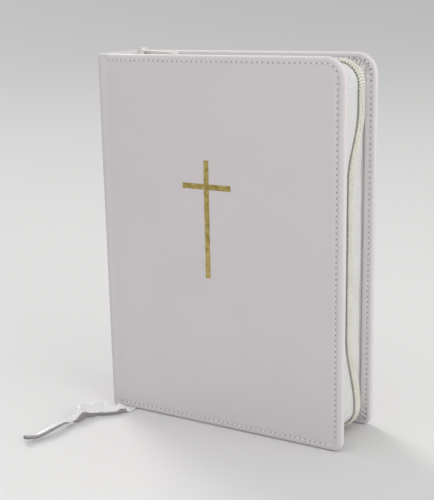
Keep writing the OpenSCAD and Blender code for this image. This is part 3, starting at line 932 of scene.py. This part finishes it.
# ---------------------------------------------------------------- zip
ZIP_X = X_FORE - RIM_W
ZIP_HEAD_Z, ZIP_TAIL_Z = BOOK_H - RIM_W + 0.1 * MM, RIM_W - 0.1 * MM
ZIP_HEAD_R, ZIP_TAIL_R = 8 * MM, 7 * MM
TAPE_HEAD_X, TAPE_TAIL_X = -57 * MM, -47.5 * MM
TAPE_SETBACK, TAPE_T = 0.35 * MM, 0.55 * MM
PART_Y = -0.5 * MM
WAVE_RISE, BULGE_OUT = 6.5 * MM, 1.8 * MM
COIL_W, COIL_H, COIL_CLEAR = 2.6 * MM, 1.5 * MM, 0.15 * MM
COIL_PITCH = 1.1 * MM
COIL_TAIL_X = -45 * MM
FRONT_COIL_HEAD_X, BACK_COIL_HEAD_X = -36 * MM, -55 * MM


def wander(x, z):
    """How far the zip leaves its middle line at a place, from 0 to 1."""
    head, tail = smooth_step(z, BOOK_H - 56 * MM, BOOK_H - 25 * MM), 1 - smooth_step(z, 14 * MM, 50 * MM)
    return smooth_step(x, 26 * MM, 52 * MM) * np.maximum(head, tail)


def parting(x, z):
    """Where the two coils meet across the book."""
    return PART_Y + WAVE_RISE * wander(x, z)


def zip_route(tail_x, head_x, step):
    """Even stations along the zip: x, z, outward x, outward z, and the run from the head corner's middle."""
    pieces = []
    tail_run = ZIP_X - ZIP_TAIL_R - tail_x
    head_run = ZIP_X - ZIP_HEAD_R - head_x
    fore_run = ZIP_HEAD_Z - ZIP_HEAD_R - ZIP_TAIL_Z - ZIP_TAIL_R
    tail_arc, head_arc = ZIP_TAIL_R * math.pi / 2, ZIP_HEAD_R * math.pi / 2
    total = tail_run + tail_arc + fore_run + head_arc + head_run
    head_middle = tail_run + tail_arc + fore_run + head_arc / 2
    tail_middle = tail_run + tail_arc / 2
    for run in np.linspace(0, total, int(total / step) + 1):
        left = run
        if left <= tail_run:
            place = (tail_x + left, ZIP_TAIL_Z, 0, -1)
        elif (left := left - tail_run) <= tail_arc:
            a = left / ZIP_TAIL_R - math.pi / 2
            place = (ZIP_X - ZIP_TAIL_R + ZIP_TAIL_R * math.cos(a),
                     ZIP_TAIL_Z + ZIP_TAIL_R * (1 + math.sin(a)), math.cos(a), math.sin(a))
        elif (left := left - tail_arc) <= fore_run:
            place = (ZIP_X, ZIP_TAIL_Z + ZIP_TAIL_R + left, 1, 0)
        elif (left := left - fore_run) <= head_arc:
            a = left / ZIP_HEAD_R
            place = (ZIP_X - ZIP_HEAD_R + ZIP_HEAD_R * math.cos(a),
                     ZIP_HEAD_Z + ZIP_HEAD_R * (math.sin(a) - 1), math.cos(a), math.sin(a))
        else:
            left -= head_arc
            place = (ZIP_X - ZIP_HEAD_R - left, ZIP_HEAD_Z, 0, 1)
        pieces.append((*place, run, run - tail_middle, run - head_middle))
    return np.array(pieces)


def zip_tape(side):
    """Half of the zip's tape, gathered into folds where it turns the corners."""
    name = "front" if side == FRONT else "back"
    route = zip_route(TAPE_TAIL_X, TAPE_HEAD_X, 0.7 * MM)
    across = np.concatenate([[0, 0.03, 0.06, 0.10, 0.14, 0.19], np.linspace(0.25, 1, 17)])
    phases = np.array([rng.uniform(0, 2 * math.pi) for _ in range(6)])
    rings, uv = [], []
    for x, z, ox, oz, run, tail_run, head_run in route:
        y_edge = float(parting(x, z)) + side * TAPE_SETBACK
        lift = BULGE_OUT * float(wander(x, z))
        span = abs(y_edge - side * Y_IN)
        top, low = [], []
        for t in across:
            free = t * span / MM
            y = side * Y_IN + (y_edge - side * Y_IN) * t
            crevice = -2.5 * math.exp(-(free / 1.3) ** 4)
            hold = float(smooth_step(t, 1.0, 0.55)) * float(smooth_step(free, 0.2, 2.5))
            lag = 0.22 * free
            head_fold = math.exp(-((head_run / MM) / 9.0) ** 2)
            tail_fold = math.exp(-((tail_run / MM) / 8.0) ** 2)
            folds = (0.34 * head_fold * math.sin(head_run / MM * 1.75 + lag * 1.9 + phases[0])
                     + 0.18 * head_fold * math.sin(head_run / MM * 2.9 - lag * 1.2 + phases[1])
                     + 0.28 * tail_fold * math.sin(tail_run / MM * 1.6 - lag * 1.7 + phases[2]))
            swell = (0.22 * math.sin(run / MM * 0.11 + phases[3] + 0.1 * free)
                     + 0.12 * math.sin(run / MM * 0.31 + phases[4] - 0.16 * free))
            sag = -0.35 * math.sin(math.pi * t)
            out = lift * float(smooth_step(t, 0.0, 1.0)) + (crevice + (folds + swell * 0.8 + sag) * hold) * MM
            top.append((x + ox * out, y, z + oz * out))
            out -= TAPE_T
            low.append((x + ox * out, y, z + oz * out))
        rings.append(top + low[::-1])
        reach = [t * span for t in across]
        uv += [(run, v) for v in reach + reach[::-1]]
    obj = tube_mesh(name + "_tape", rings, TAPE, uv, flip=(side == BACK))
    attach(obj, name + "_cover")
    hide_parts(name + "_zip_tape")


def wire_mesh(name, path, radius, material, sides=6):
    """A round wire along a path, with frames carried smoothly from point to point."""
    path = np.asarray(path, float)
    tangent = np.gradient(path, axis=0)
    tangent /= np.linalg.norm(tangent, axis=1)[:, None]
    normal = np.cross(tangent[0], (0.37, 0.61, 0.70))
    angles = np.linspace(0, 2 * math.pi, sides, endpoint=False)
    rings = []
    for place, along in zip(path, tangent):
        normal = normal - along * normal.dot(along)
        normal /= np.linalg.norm(normal)
        other = np.cross(along, normal)
        rings.append([place + radius * (normal * math.cos(a) + other * math.sin(a)) for a in angles])
    return tube_mesh(name, rings, material)


def on_route(route, run, y, out):
    """The point at a run along the route, y across and out above the tape."""
    x, z, ox, oz = (np.interp(run, route[:, 4], route[:, k]) for k in range(4))
    length = np.hypot(ox, oz)
    return np.column_stack([x + ox / length * out, y, z + oz / length * out])


def zip_coil(side, head_x):
    """One row of coil: a monofilament wound round its cord, and the two threads that sew it on."""
    name = "front" if side == FRONT else "back"
    route = zip_route(COIL_TAIL_X, head_x, 0.5 * MM)
    total = route[-1, 4]
    wire_r = 0.38 * MM
    steps = 12
    turns = int(total / COIL_PITCH)
    run = np.linspace(0, total, turns * steps + 1)
    turn = 2 * math.pi * np.arange(len(run)) / steps + (math.pi if side == BACK else 0)
    x, z = (np.interp(run, route[:, 4], route[:, k]) for k in (0, 1))
    y_near = parting(x, z) + side * 0.17 * MM
    low = BULGE_OUT * wander(x, z) + COIL_CLEAR
    half_w, half_h = COIL_W / 2 + 0.05 * MM - wire_r, COIL_H / 2 - wire_r
    square = lambda v: np.sign(v) * np.abs(v) ** 0.75
    y = y_near + side * (COIL_W / 2 + half_w * square(np.cos(turn)) + 0.05 * MM)
    out = low + COIL_H / 2 + half_h * square(np.sin(turn))
    wire = wire_mesh(name + "_coil", on_route(route, run, y, out), wire_r, COIL)
    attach(wire, name + "_cover")
    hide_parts(name + "_zip_coil")
    core_run = route[:, 4]
    x, z = route[:, 0], route[:, 1]
    y_mid = parting(x, z) + side * (COIL_W / 2 + 0.2 * MM)
    low = BULGE_OUT * wander(x, z) + COIL_CLEAR
    core = wire_mesh(name + "_coil_cord", on_route(route, core_run, y_mid, low + COIL_H / 2),
                     0.42 * MM, COIL, 8)
    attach(core, name + "_cover")
    fine = np.linspace(0, total, turns * 4 + 1)
    x, z = (np.interp(fine, route[:, 4], route[:, k]) for k in (0, 1))
    beat = np.cos(2 * math.pi * np.arange(len(fine)) / 4)
    for k, (place, high) in enumerate(((1.55, 0.0), (2.4, -0.22))):
        y = parting(x, z) + side * (place + 0.05 * beat) * MM
        out = BULGE_OUT * wander(x, z) + COIL_CLEAR + COIL_H + (high + 0.07 * beat) * MM
        line = on_route(route, fine, y, out)
        sewn = wire_mesh(name + "_coil_thread_" + str(k + 1), line, 0.12 * MM, SEWING)
        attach(sewn, name + "_cover")


def bevelled(name, outline, low, high, place, material, bevel, segments=3):
    """A plate of the given outline from low to high, with rounded edges; place(u, v, w) gives its points."""
    bm = bmesh.new()
    bottom = [bm.verts.new((u, v, low)) for u, v in outline]
    top = [bm.verts.new((u, v, high)) for u, v in outline]
    n = len(outline)
    bm.faces.new(bottom[::-1])
    bm.faces.new(top)
    for k in range(n):
        bm.faces.new((bottom[k], bottom[(k + 1) % n], top[(k + 1) % n], top[k]))
    rims = [e for e in bm.edges if abs(e.verts[0].co.z - e.verts[1].co.z) < 1e-9]
    bmesh.ops.bevel(bm, geom=rims, offset=bevel, offset_type="OFFSET", segments=segments, profile=0.5,
                    affect="EDGES", clamp_overlap=True)
    for v in bm.verts:
        v.co = Vector(place(*v.co))
    bmesh.ops.recalc_face_normals(bm, faces=bm.faces)
    mesh = bpy.data.meshes.new(name)
    bm.to_mesh(mesh)
    bm.free()
    mesh.polygons.foreach_set("use_smooth", [True] * len(mesh.polygons))
    mesh.materials.append(material)
    obj = bpy.data.objects.new(name, mesh)
    bpy.context.scene.collection.objects.link(obj)
    return obj


def rounded_outline(width, height, radius, u0=0.0, v0=0.0, steps=5, waist=0.0):
    """A rectangle with rounded corners round (u0, v0), drawn in at its waist."""
    points = []
    for cu, cv, start in ((1, 1, 0), (-1, 1, 90), (-1, -1, 180), (1, -1, 270)):
        for k in range(steps + 1):
            a = math.radians(start + 90 * k / steps)
            points.append((cu * (width / 2 - radius) + radius * math.cos(a),
                           cv * (height / 2 - radius) + radius * math.sin(a)))
        if waist and cv == cu:
            for t in (0.3, 0.5, 0.7):
                points.append((cu * (width / 2 - radius) * (1 - 2 * t),
                               cv * (height / 2 - waist * math.sin(math.pi * t))))
    return [(u0 + u, v0 + v) for u, v in points]


slider_low, slider_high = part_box("slider_body")
bail_low, bail_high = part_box("slider_bail")
SLIDER_X = (slider_low.x + slider_high.x) / 2
SLIDER_L, SLIDER_W = slider_high.x - slider_low.x, slider_high.y - slider_low.y
PLATE_T = 1.0 * MM
PIN_X, PIN_Z = SLIDER_X - 1 * MM, BOOK_H + 0.6 * MM
EAR_Y, EAR_T, EAR_R = 1.6 * MM, 0.8 * MM, 1.6 * MM
PULL_SLOPE = math.radians(-3)


def slider():
    """The slider: two waisted plates, side flanges, the wedge that parts the coils, and the bail."""
    flat = lambda u, v, w: (SLIDER_X + u, PART_Y + v, w)
    outline = rounded_outline(SLIDER_L, SLIDER_W, 2.0 * MM, waist=0.45 * MM)
    crown_from = slider_high.z - 0.6 * MM
    def crown(u, v, w):
        rise = 0.12 * MM * math.cos(math.pi * v / SLIDER_W) if w > crown_from else 0
        return (SLIDER_X + u, PART_Y + v, w + rise)
    upper = bevelled("slider_upper_plate", outline, slider_high.z - PLATE_T, slider_high.z,
                     crown, ENAMEL, 0.3 * MM)
    lower = bevelled("slider_lower_plate", outline, slider_low.z, slider_low.z + PLATE_T,
                     flat, ENAMEL, 0.3 * MM)
    pieces = [upper, lower]
    flange_low = ZIP_HEAD_Z + 0.3 * MM
    for sign in (-1, 1):
        side_outline = rounded_outline(SLIDER_L - 3.4 * MM, 0.95 * MM, 0.4 * MM,
                                       v0=sign * (SLIDER_W / 2 - 0.5 * MM))
        pieces.append(bevelled("slider_flange_" + ("a" if sign < 0 else "b"), side_outline, flange_low,
                               slider_high.z - 0.5 * MM, flat, ENAMEL, 0.2 * MM))
    web = [(-SLIDER_L / 2 + 0.3 * MM, -0.13 * MM), (-SLIDER_L / 2 + 3 * MM, -0.02 * MM),
           (-SLIDER_L / 2 + 3 * MM, 0.02 * MM), (-SLIDER_L / 2 + 0.3 * MM, 0.13 * MM)]
    pieces.append(bevelled("slider_wedge", web, slider_low.z + PLATE_T, slider_high.z - PLATE_T,
                           flat, ENAMEL, 0.005 * MM))
    for piece in pieces:
        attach(piece, "slider")
    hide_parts("slider_body")
    base = slider_high.z - 0.1 * MM
    ear = [(-EAR_R, base), (EAR_R, base)] + [(EAR_R * math.cos(a), PIN_Z + EAR_R * math.sin(a))
                                            for a in np.linspace(0, math.pi, 13)]
    bail = []
    for sign in (-1, 1):
        y0 = PART_Y + sign * (EAR_Y + EAR_T / 2)
        stand = lambda u, v, w, y0=y0: (PIN_X + u, y0 + w, v)
        label = "bail_ear_" + ("a" if sign < 0 else "b")
        bail.append(bevelled(label, ear, -EAR_T / 2, EAR_T / 2, stand, ENAMEL, 0.22 * MM))
    rings = []
    for y, r in ((-1.0, 0.42), (-0.94, 0.5), (0.94, 0.5), (1.0, 0.42)):
        reach = y * (EAR_Y + EAR_T + 0.1 * MM)
        rings.append([(PIN_X + r * MM * math.cos(a), PART_Y + reach, PIN_Z + r * MM * math.sin(a))
                      for a in np.linspace(0, 2 * math.pi, 20, endpoint=False)])
    bail.append(tube_mesh("bail_pin", rings, ENAMEL))
    for piece in bail:
        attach(piece, "slider")
    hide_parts("slider_bail")


def pull():
    """The pull: a knuckle round the pin and a tongue with a raised border."""
    pull_l, pull_w, pull_t, neck = 20 * MM, 4.6 * MM, 1.0 * MM, 3.2 * MM
    knuckle_w = 2 * EAR_Y - 0.4 * MM
    c, s = math.cos(PULL_SLOPE), math.sin(PULL_SLOPE)
    def place(u, v, w):
        return (PIN_X + u * c - w * s, PART_Y + v, PIN_Z + u * s + w * c)
    half = pull_w / 2
    outline = [(neck - 0.6 * MM, -knuckle_w / 2), (neck + 1.4 * MM, -half)]
    outline += [(pull_l - half + half * math.cos(a), half * math.sin(a))
                for a in np.linspace(-math.pi / 2, math.pi / 2, 15)]
    outline += [(neck + 1.4 * MM, half), (neck - 0.6 * MM, knuckle_w / 2)]
    tongue = bevelled("pull_tongue", outline, -pull_t / 2, pull_t / 2, place, ENAMEL, 0.25 * MM)
    field = rounded_outline(pull_l - neck - 4.2 * MM, pull_w - 1.9 * MM, 1.2 * MM,
                            u0=(neck + 1.9 * MM + pull_l - 1.6 * MM) / 2)
    raised = bevelled("pull_field", field, -pull_t / 2 - 0.10 * MM, pull_t / 2 + 0.10 * MM,
                      place, ENAMEL, 0.14 * MM)
    neck_outline = [(0.75 * MM, -knuckle_w / 2 + 0.1 * MM), (neck, -knuckle_w / 2 + 0.1 * MM),
                    (neck, knuckle_w / 2 - 0.1 * MM), (0.75 * MM, knuckle_w / 2 - 0.1 * MM)]
    arm = bevelled("pull_neck", neck_outline, -pull_t / 2, pull_t / 2, place, ENAMEL, 0.2 * MM)
    rings = []
    around = np.linspace(0, 2 * math.pi, 24, endpoint=False)
    for v, r in ((-1, 0.56), (-1, 0.98), (-0.9, 1.1), (0.9, 1.1), (1, 0.98), (1, 0.56), (-1, 0.56)):
        rings.append([place(r * MM * math.cos(a), v * knuckle_w / 2, r * MM * math.sin(a)) for a in around])
    faces = grid_faces(len(rings), len(around), wrap=True)
    knuckle = add_mesh("pull_knuckle", np.array(rings).reshape(-1, 3), faces, ENAMEL)
    for piece in (tongue, raised, arm, knuckle):
        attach(piece, "pull")
    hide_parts("zip_pull")


def zip_stops(side, head_x):
    """Crimped stops at both ends of a coil."""
    name = "front" if side == FRONT else "back"
    y_mid = PART_Y + side * (0.25 * MM + COIL_W / 2)
    head_stop = (head_x - 0.8 * MM, ZIP_HEAD_Z, ZIP_HEAD_Z + COIL_H + COIL_CLEAR)
    tail_stop = (COIL_TAIL_X - 0.8 * MM, ZIP_TAIL_Z - COIL_H - COIL_CLEAR, ZIP_TAIL_Z)
    for k, (x, z_low, z_high) in enumerate((head_stop, tail_stop)):
        flat = lambda u, v, w, x=x: (x + u, y_mid + v, w)
        outline = rounded_outline(1.6 * MM, COIL_W, 0.4 * MM)
        label = name + "_stop_" + ("head" if k == 0 else "tail")
        stop = bevelled(label, outline, z_low, z_high, flat, ENAMEL, 0.35 * MM, 4)
        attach(stop, name + "_cover")
        if k == 0:
            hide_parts(name + "_zip_stops")


for side, head_x in ((FRONT, FRONT_COIL_HEAD_X), (BACK, BACK_COIL_HEAD_X)):
    zip_tape(side)
    zip_coil(side, head_x)
    zip_stops(side, head_x)
slider()
pull()


# ---------------------------------------------------------------- inside of the covers
def soften(name, source, material, body, bevel=0.15, rough=0.0):
    """A piece rebuilt from the size of its CAD node: bevelled, with a face made uneven by rough, which every
    call here leaves at zero.
    """
    low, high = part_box(source)
    size = high - low
    center = (low + high) / 2
    outline = rounded_outline(size.x, size.z, min(1.5 * MM, size.x / 3), steps=6)
    phase = [rng.uniform(0, 6) for _ in range(3)]
    def place(u, v, w):
        wave = rough * MM * math.sin(u * 90 + phase[0]) * math.sin(v * 70 + phase[1])
        return (center.x + u, center.y + w + wave, center.z + v)
    obj = bevelled(name, outline, -size.y / 2, size.y / 2, place, material, min(bevel * MM, size.y * 0.4))
    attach(obj, body)
    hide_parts(source)
    return obj


def grid_panel(name, source, material, body, side, relief):
    """A thin panel as a dense grid: an uneven inner face, rounded edges, and its back."""
    low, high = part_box(source)
    columns, rows = 45, 60
    xs, zs = np.linspace(low.x, high.x, columns), np.linspace(low.z, high.z, rows)
    y_face, y_back = (high.y, low.y) if side == FRONT else (low.y, high.y)
    phase = [rng.uniform(0, 6) for _ in range(4)]
    points = []
    for z in zs:
        for x in xs:
            edge = min(x - low.x, high.x - x, z - low.z, high.z - z)
            wave = (math.sin(x * 75 + phase[0]) * math.sin(z * 60 + phase[1])
                    + 0.5 * math.sin(x * 160 + z * 90 + phase[2]))
            sunk = 0.10 * MM * math.exp(-edge / (0.3 * MM))
            lift = relief * MM * (wave * float(smooth_step(edge, 0, 8 * MM)) + 0.3) - sunk
            points.append((x, y_face - side * lift, z))
    faces = grid_faces(rows, columns, flip=(side == FRONT))
    first = len(points)
    border = ([(0, j) for j in range(columns)] + [(i, columns - 1) for i in range(1, rows)]
              + [(rows - 1, j) for j in range(columns - 2, -1, -1)]
              + [(i, 0) for i in range(rows - 2, 0, -1)])
    points += [(xs[j], y_back, zs[i]) for i, j in border]
    n = len(border)
    for k in range(n):
        a, b = border[k], border[(k + 1) % n]
        quad = (a[0] * columns + a[1], b[0] * columns + b[1], first + (k + 1) % n, first + k)
        faces.append(quad if side == FRONT else quad[::-1])
    back = [first + k for k in range(n)]
    faces.append(back[::-1] if side == FRONT else back)
    obj = add_mesh(name, points, faces, material)
    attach(obj, body)
    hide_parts(source)


for side, name in ((FRONT, "front"), (BACK, "back")):
    body = name + "_cover"
    soften(name + "_binder_board", name + "_board", BOARD, body, 0.3)
    grid_panel(name + "_inner_lining", name + "_lining", INNER_LEATHER, body, side, 0.04)
    grid_panel(name + "_paste_sheet", name + "_pastedown", ENDPAPER, body, side, 0.03)


def leaf_stack(name, source, material, bundles):
    """A section of leaves as bundles of slightly different reach, each rounded at its fore-edge."""
    low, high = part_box(source)
    step = (high.y - low.y) / bundles
    columns = np.concatenate([np.linspace(0, 1, 14) * 30 * MM,
                              30 * MM + np.linspace(0.08, 1, 14) * (high.x - low.x - 30 * MM)])
    points, faces, uv = [], [], []
    phase = [rng.uniform(0, 6) for _ in range(3)]
    for k in range(bundles):
        reach = -abs(rng.gauss(0, 0.14)) * MM
        head_in, tail_in = abs(rng.gauss(0, 0.10)) * MM, abs(rng.gauss(0, 0.10)) * MM
        y0, y1 = low.y + k * step, low.y + (k + 1) * step - 0.04 * MM
        rings = []
        for x in columns:
            t = x / columns[-1]
            wave = 0.03 * MM * math.sin(x * 60 + phase[0]) * float(smooth_step(t, 0.1, 0.9))
            place = low.x + x + reach * t
            z0, z1 = low.z + tail_in, high.z - head_in
            soft = min(0.12 * MM, (y1 - y0) * 0.45)
            squeeze = soft if x >= columns[-1] - 1e-9 else 0
            a, b = y0 + squeeze + wave, y1 - squeeze + wave
            rings.append([(place, a, z0 + soft), (place, a, z1 - soft), (place, (a + b) / 2, z1),
                          (place, b, z1 - soft), (place, b, z0 + soft), (place, (a + b) / 2, z0)])
            uv += [(x, p[1]) for p in rings[-1]]
        first = len(points)
        points += [p for ring in rings for p in ring]
        sides = 6
        faces += grid_faces(len(rings), sides, wrap=True, first=first)
        last = first + (len(rings) - 1) * sides
        faces += [[first + n for n in range(sides)][::-1], [last + n for n in range(sides)]]
    obj = add_mesh(name, points, faces, material, smooth=False, uv=uv)
    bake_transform(obj)
    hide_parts(source)


for side, name in ((FRONT, "front"), (BACK, "back")):
    for index in (1, 2, 3):
        leaf_stack("leaves_" + name + "_" + str(index), "pages_" + name + "_" + str(index),
                   LEAVES, 14)
    leaf_stack("flyleaf_" + name, name + "_flyleaf", ENDPAPER, 2)


def spine_lining():
    """The stiffener inside the spine and the glued mull over the back of the leaves."""
    for source, material, slot_name, label in (("spine_stiffener", BOARD, "board", "spine_board"),
                                               ("spine_mull", MULL, "mull", "glued_mull")):
        low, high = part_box(source)
        center, size = (low + high) / 2, high - low
        outline = rounded_outline(size.y, size.z, min(1.2 * MM, size.y / 3), steps=5)
        flat = lambda u, v, w, c=center: (c.x + w, c.y + u, c.z + v)
        obj = bevelled(label, outline, -size.x / 2, size.x / 2, flat, material, min(0.3 * MM, size.x * 0.3))
        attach(obj, "spine")
        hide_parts(source)


def end_bands():
    """Wound head and tail bands: ridges round a thin core."""
    for source in ("head_band", "tail_band"):
        low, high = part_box(source)
        center, half = (low + high) / 2, (high.y - low.y) / 2
        radius = (high.x - low.x) / 2
        ridges = 44
        rings = []
        for k in range(ridges * 4 + 1):
            v = -1 + 2 * k / (ridges * 4)
            ridge = 0.90 + 0.10 * math.cos(math.pi * k / 2)
            r = radius * ridge * (1 - 0.5 * smooth_step(abs(v), 0.985, 1.0))
            rings.append([(center.x + r * math.cos(a), center.y + v * half, center.z + r * math.sin(a))
                          for a in np.linspace(0, 2 * math.pi, 14, endpoint=False)])
        obj = tube_mesh("wound_" + source, rings, BAND)
        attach(obj, "spine")
        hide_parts(source)


def ribbon_between():
    """The marker from the head band down between the leaves, and forward under the front cover."""
    turn_r, end_y, run_z, x_mid = 7 * MM, -15.5 * MM, 0.35 * MM, -54 * MM
    head_z = BOOK_H - 10.5 * MM
    line = [(0.0, z) for z in np.linspace(head_z, run_z + turn_r, 30)]
    line += [(-turn_r + turn_r * math.cos(a), run_z + turn_r - turn_r * math.sin(a))
             for a in np.linspace(0, math.pi / 2, 14)[1:]]
    line += [(y, run_z) for y in np.linspace(-turn_r, end_y, 10)[1:]]
    line = np.array(line)
    run = np.concatenate([[0], np.cumsum(np.linalg.norm(np.diff(line, axis=0), axis=1))])
    tangent = np.gradient(line, axis=0)
    tangent /= np.linalg.norm(tangent, axis=1)[:, None]
    across = np.linspace(-0.5, 0.5, 9)
    rings, uv = [], []
    for (y, z), (ty, tz), r in zip(line, tangent, run):
        ny, nz = -tz, ty
        half = 0.13 * MM
        rings.append([(x_mid + a * RIBBON_W, y + ny * half, z + nz * half) for a in across]
                     + [(x_mid + a * RIBBON_W, y - ny * half, z - nz * half) for a in across[::-1]])
        uv += [(r, (a + 0.6) * RIBBON_W) for a in across] + [(r, (a + 0.6) * RIBBON_W) for a in across[::-1]]
    obj = tube_mesh("ribbon_marker_inner", rings, SATIN, uv)
    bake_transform(obj)
    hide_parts("ribbon_inner")


spine_lining()
end_bands()
ribbon_between()

# ---------------------------------------------------------------- floor and light
# Radius of the floor's flat part and of the whole floor in metres, and its slope at the rim
FLOOR_FLAT, FLOOR_REACH, FLOOR_SLOPE = 2.0, 14.0, 0.5


def studio():
    """A pale floor that curves up far out, a soft light from behind on the left, and two soft boxes."""
    s = Shader("floor", (0.69, 0.686, 0.68), 0.8)
    sectors = 96
    radii = np.concatenate([np.linspace(0.02, FLOOR_FLAT, 12),
                            np.linspace(FLOOR_FLAT, FLOOR_REACH, 60)[1:]])
    points = []
    for radius in radii:
        rise = FLOOR_SLOPE * max(0.0, radius - FLOOR_FLAT) ** 2 / (2 * (FLOOR_REACH - FLOOR_FLAT))
        points += [(radius * math.cos(math.tau * k / sectors),
                    radius * math.sin(math.tau * k / sectors), rise) for k in range(sectors)]
    faces = [(i * sectors + k, (i + 1) * sectors + k,
              (i + 1) * sectors + (k + 1) % sectors, i * sectors + (k + 1) % sectors)
             for i in range(len(radii) - 1) for k in range(sectors)]
    faces.append(tuple(range(sectors)))
    add_mesh("floor", points, faces, s.material)

    def lamp(name, place, aim, size, power, color):
        data = bpy.data.lights.new(name, "AREA")
        data.size = size
        data.energy = power
        data.color = color
        obj = bpy.data.objects.new(name, data)
        obj.location = place
        obj.rotation_euler = (Vector(aim) - Vector(place)).to_track_quat("-Z", "Y").to_euler()
        bpy.context.scene.collection.objects.link(obj)

    sun = bpy.data.lights.new("key", "SUN")
    sun.energy = 1.2
    sun.angle = math.radians(24)
    sun.color = (1.0, 0.99, 0.975)
    key = bpy.data.objects.new("key", sun)
    key.rotation_euler = Vector((1.05, -0.7, -0.85)).to_track_quat("-Z", "Y").to_euler()
    bpy.context.scene.collection.objects.link(key)
    lamp("top", (0, -0.4, 1.7), (0, -0.1, 0), 2.4, 14, (1.0, 1.0, 1.0))
    lamp("fill", (1.45, -0.3, 0.6), (0, 0, 0.1), 1.3, 11, (1.0, 0.99, 0.985))
    world = bpy.data.worlds.new("room")
    world.use_nodes = True
    world.node_tree.nodes["Background"].inputs["Color"].default_value = (0.985, 0.99, 1.0, 1)
    world.node_tree.nodes["Background"].inputs["Strength"].default_value = 0.50
    scene = bpy.context.scene
    scene.world = world
    scene.view_settings.view_transform = "Standard"
    scene.view_settings.look = "None"


studio()
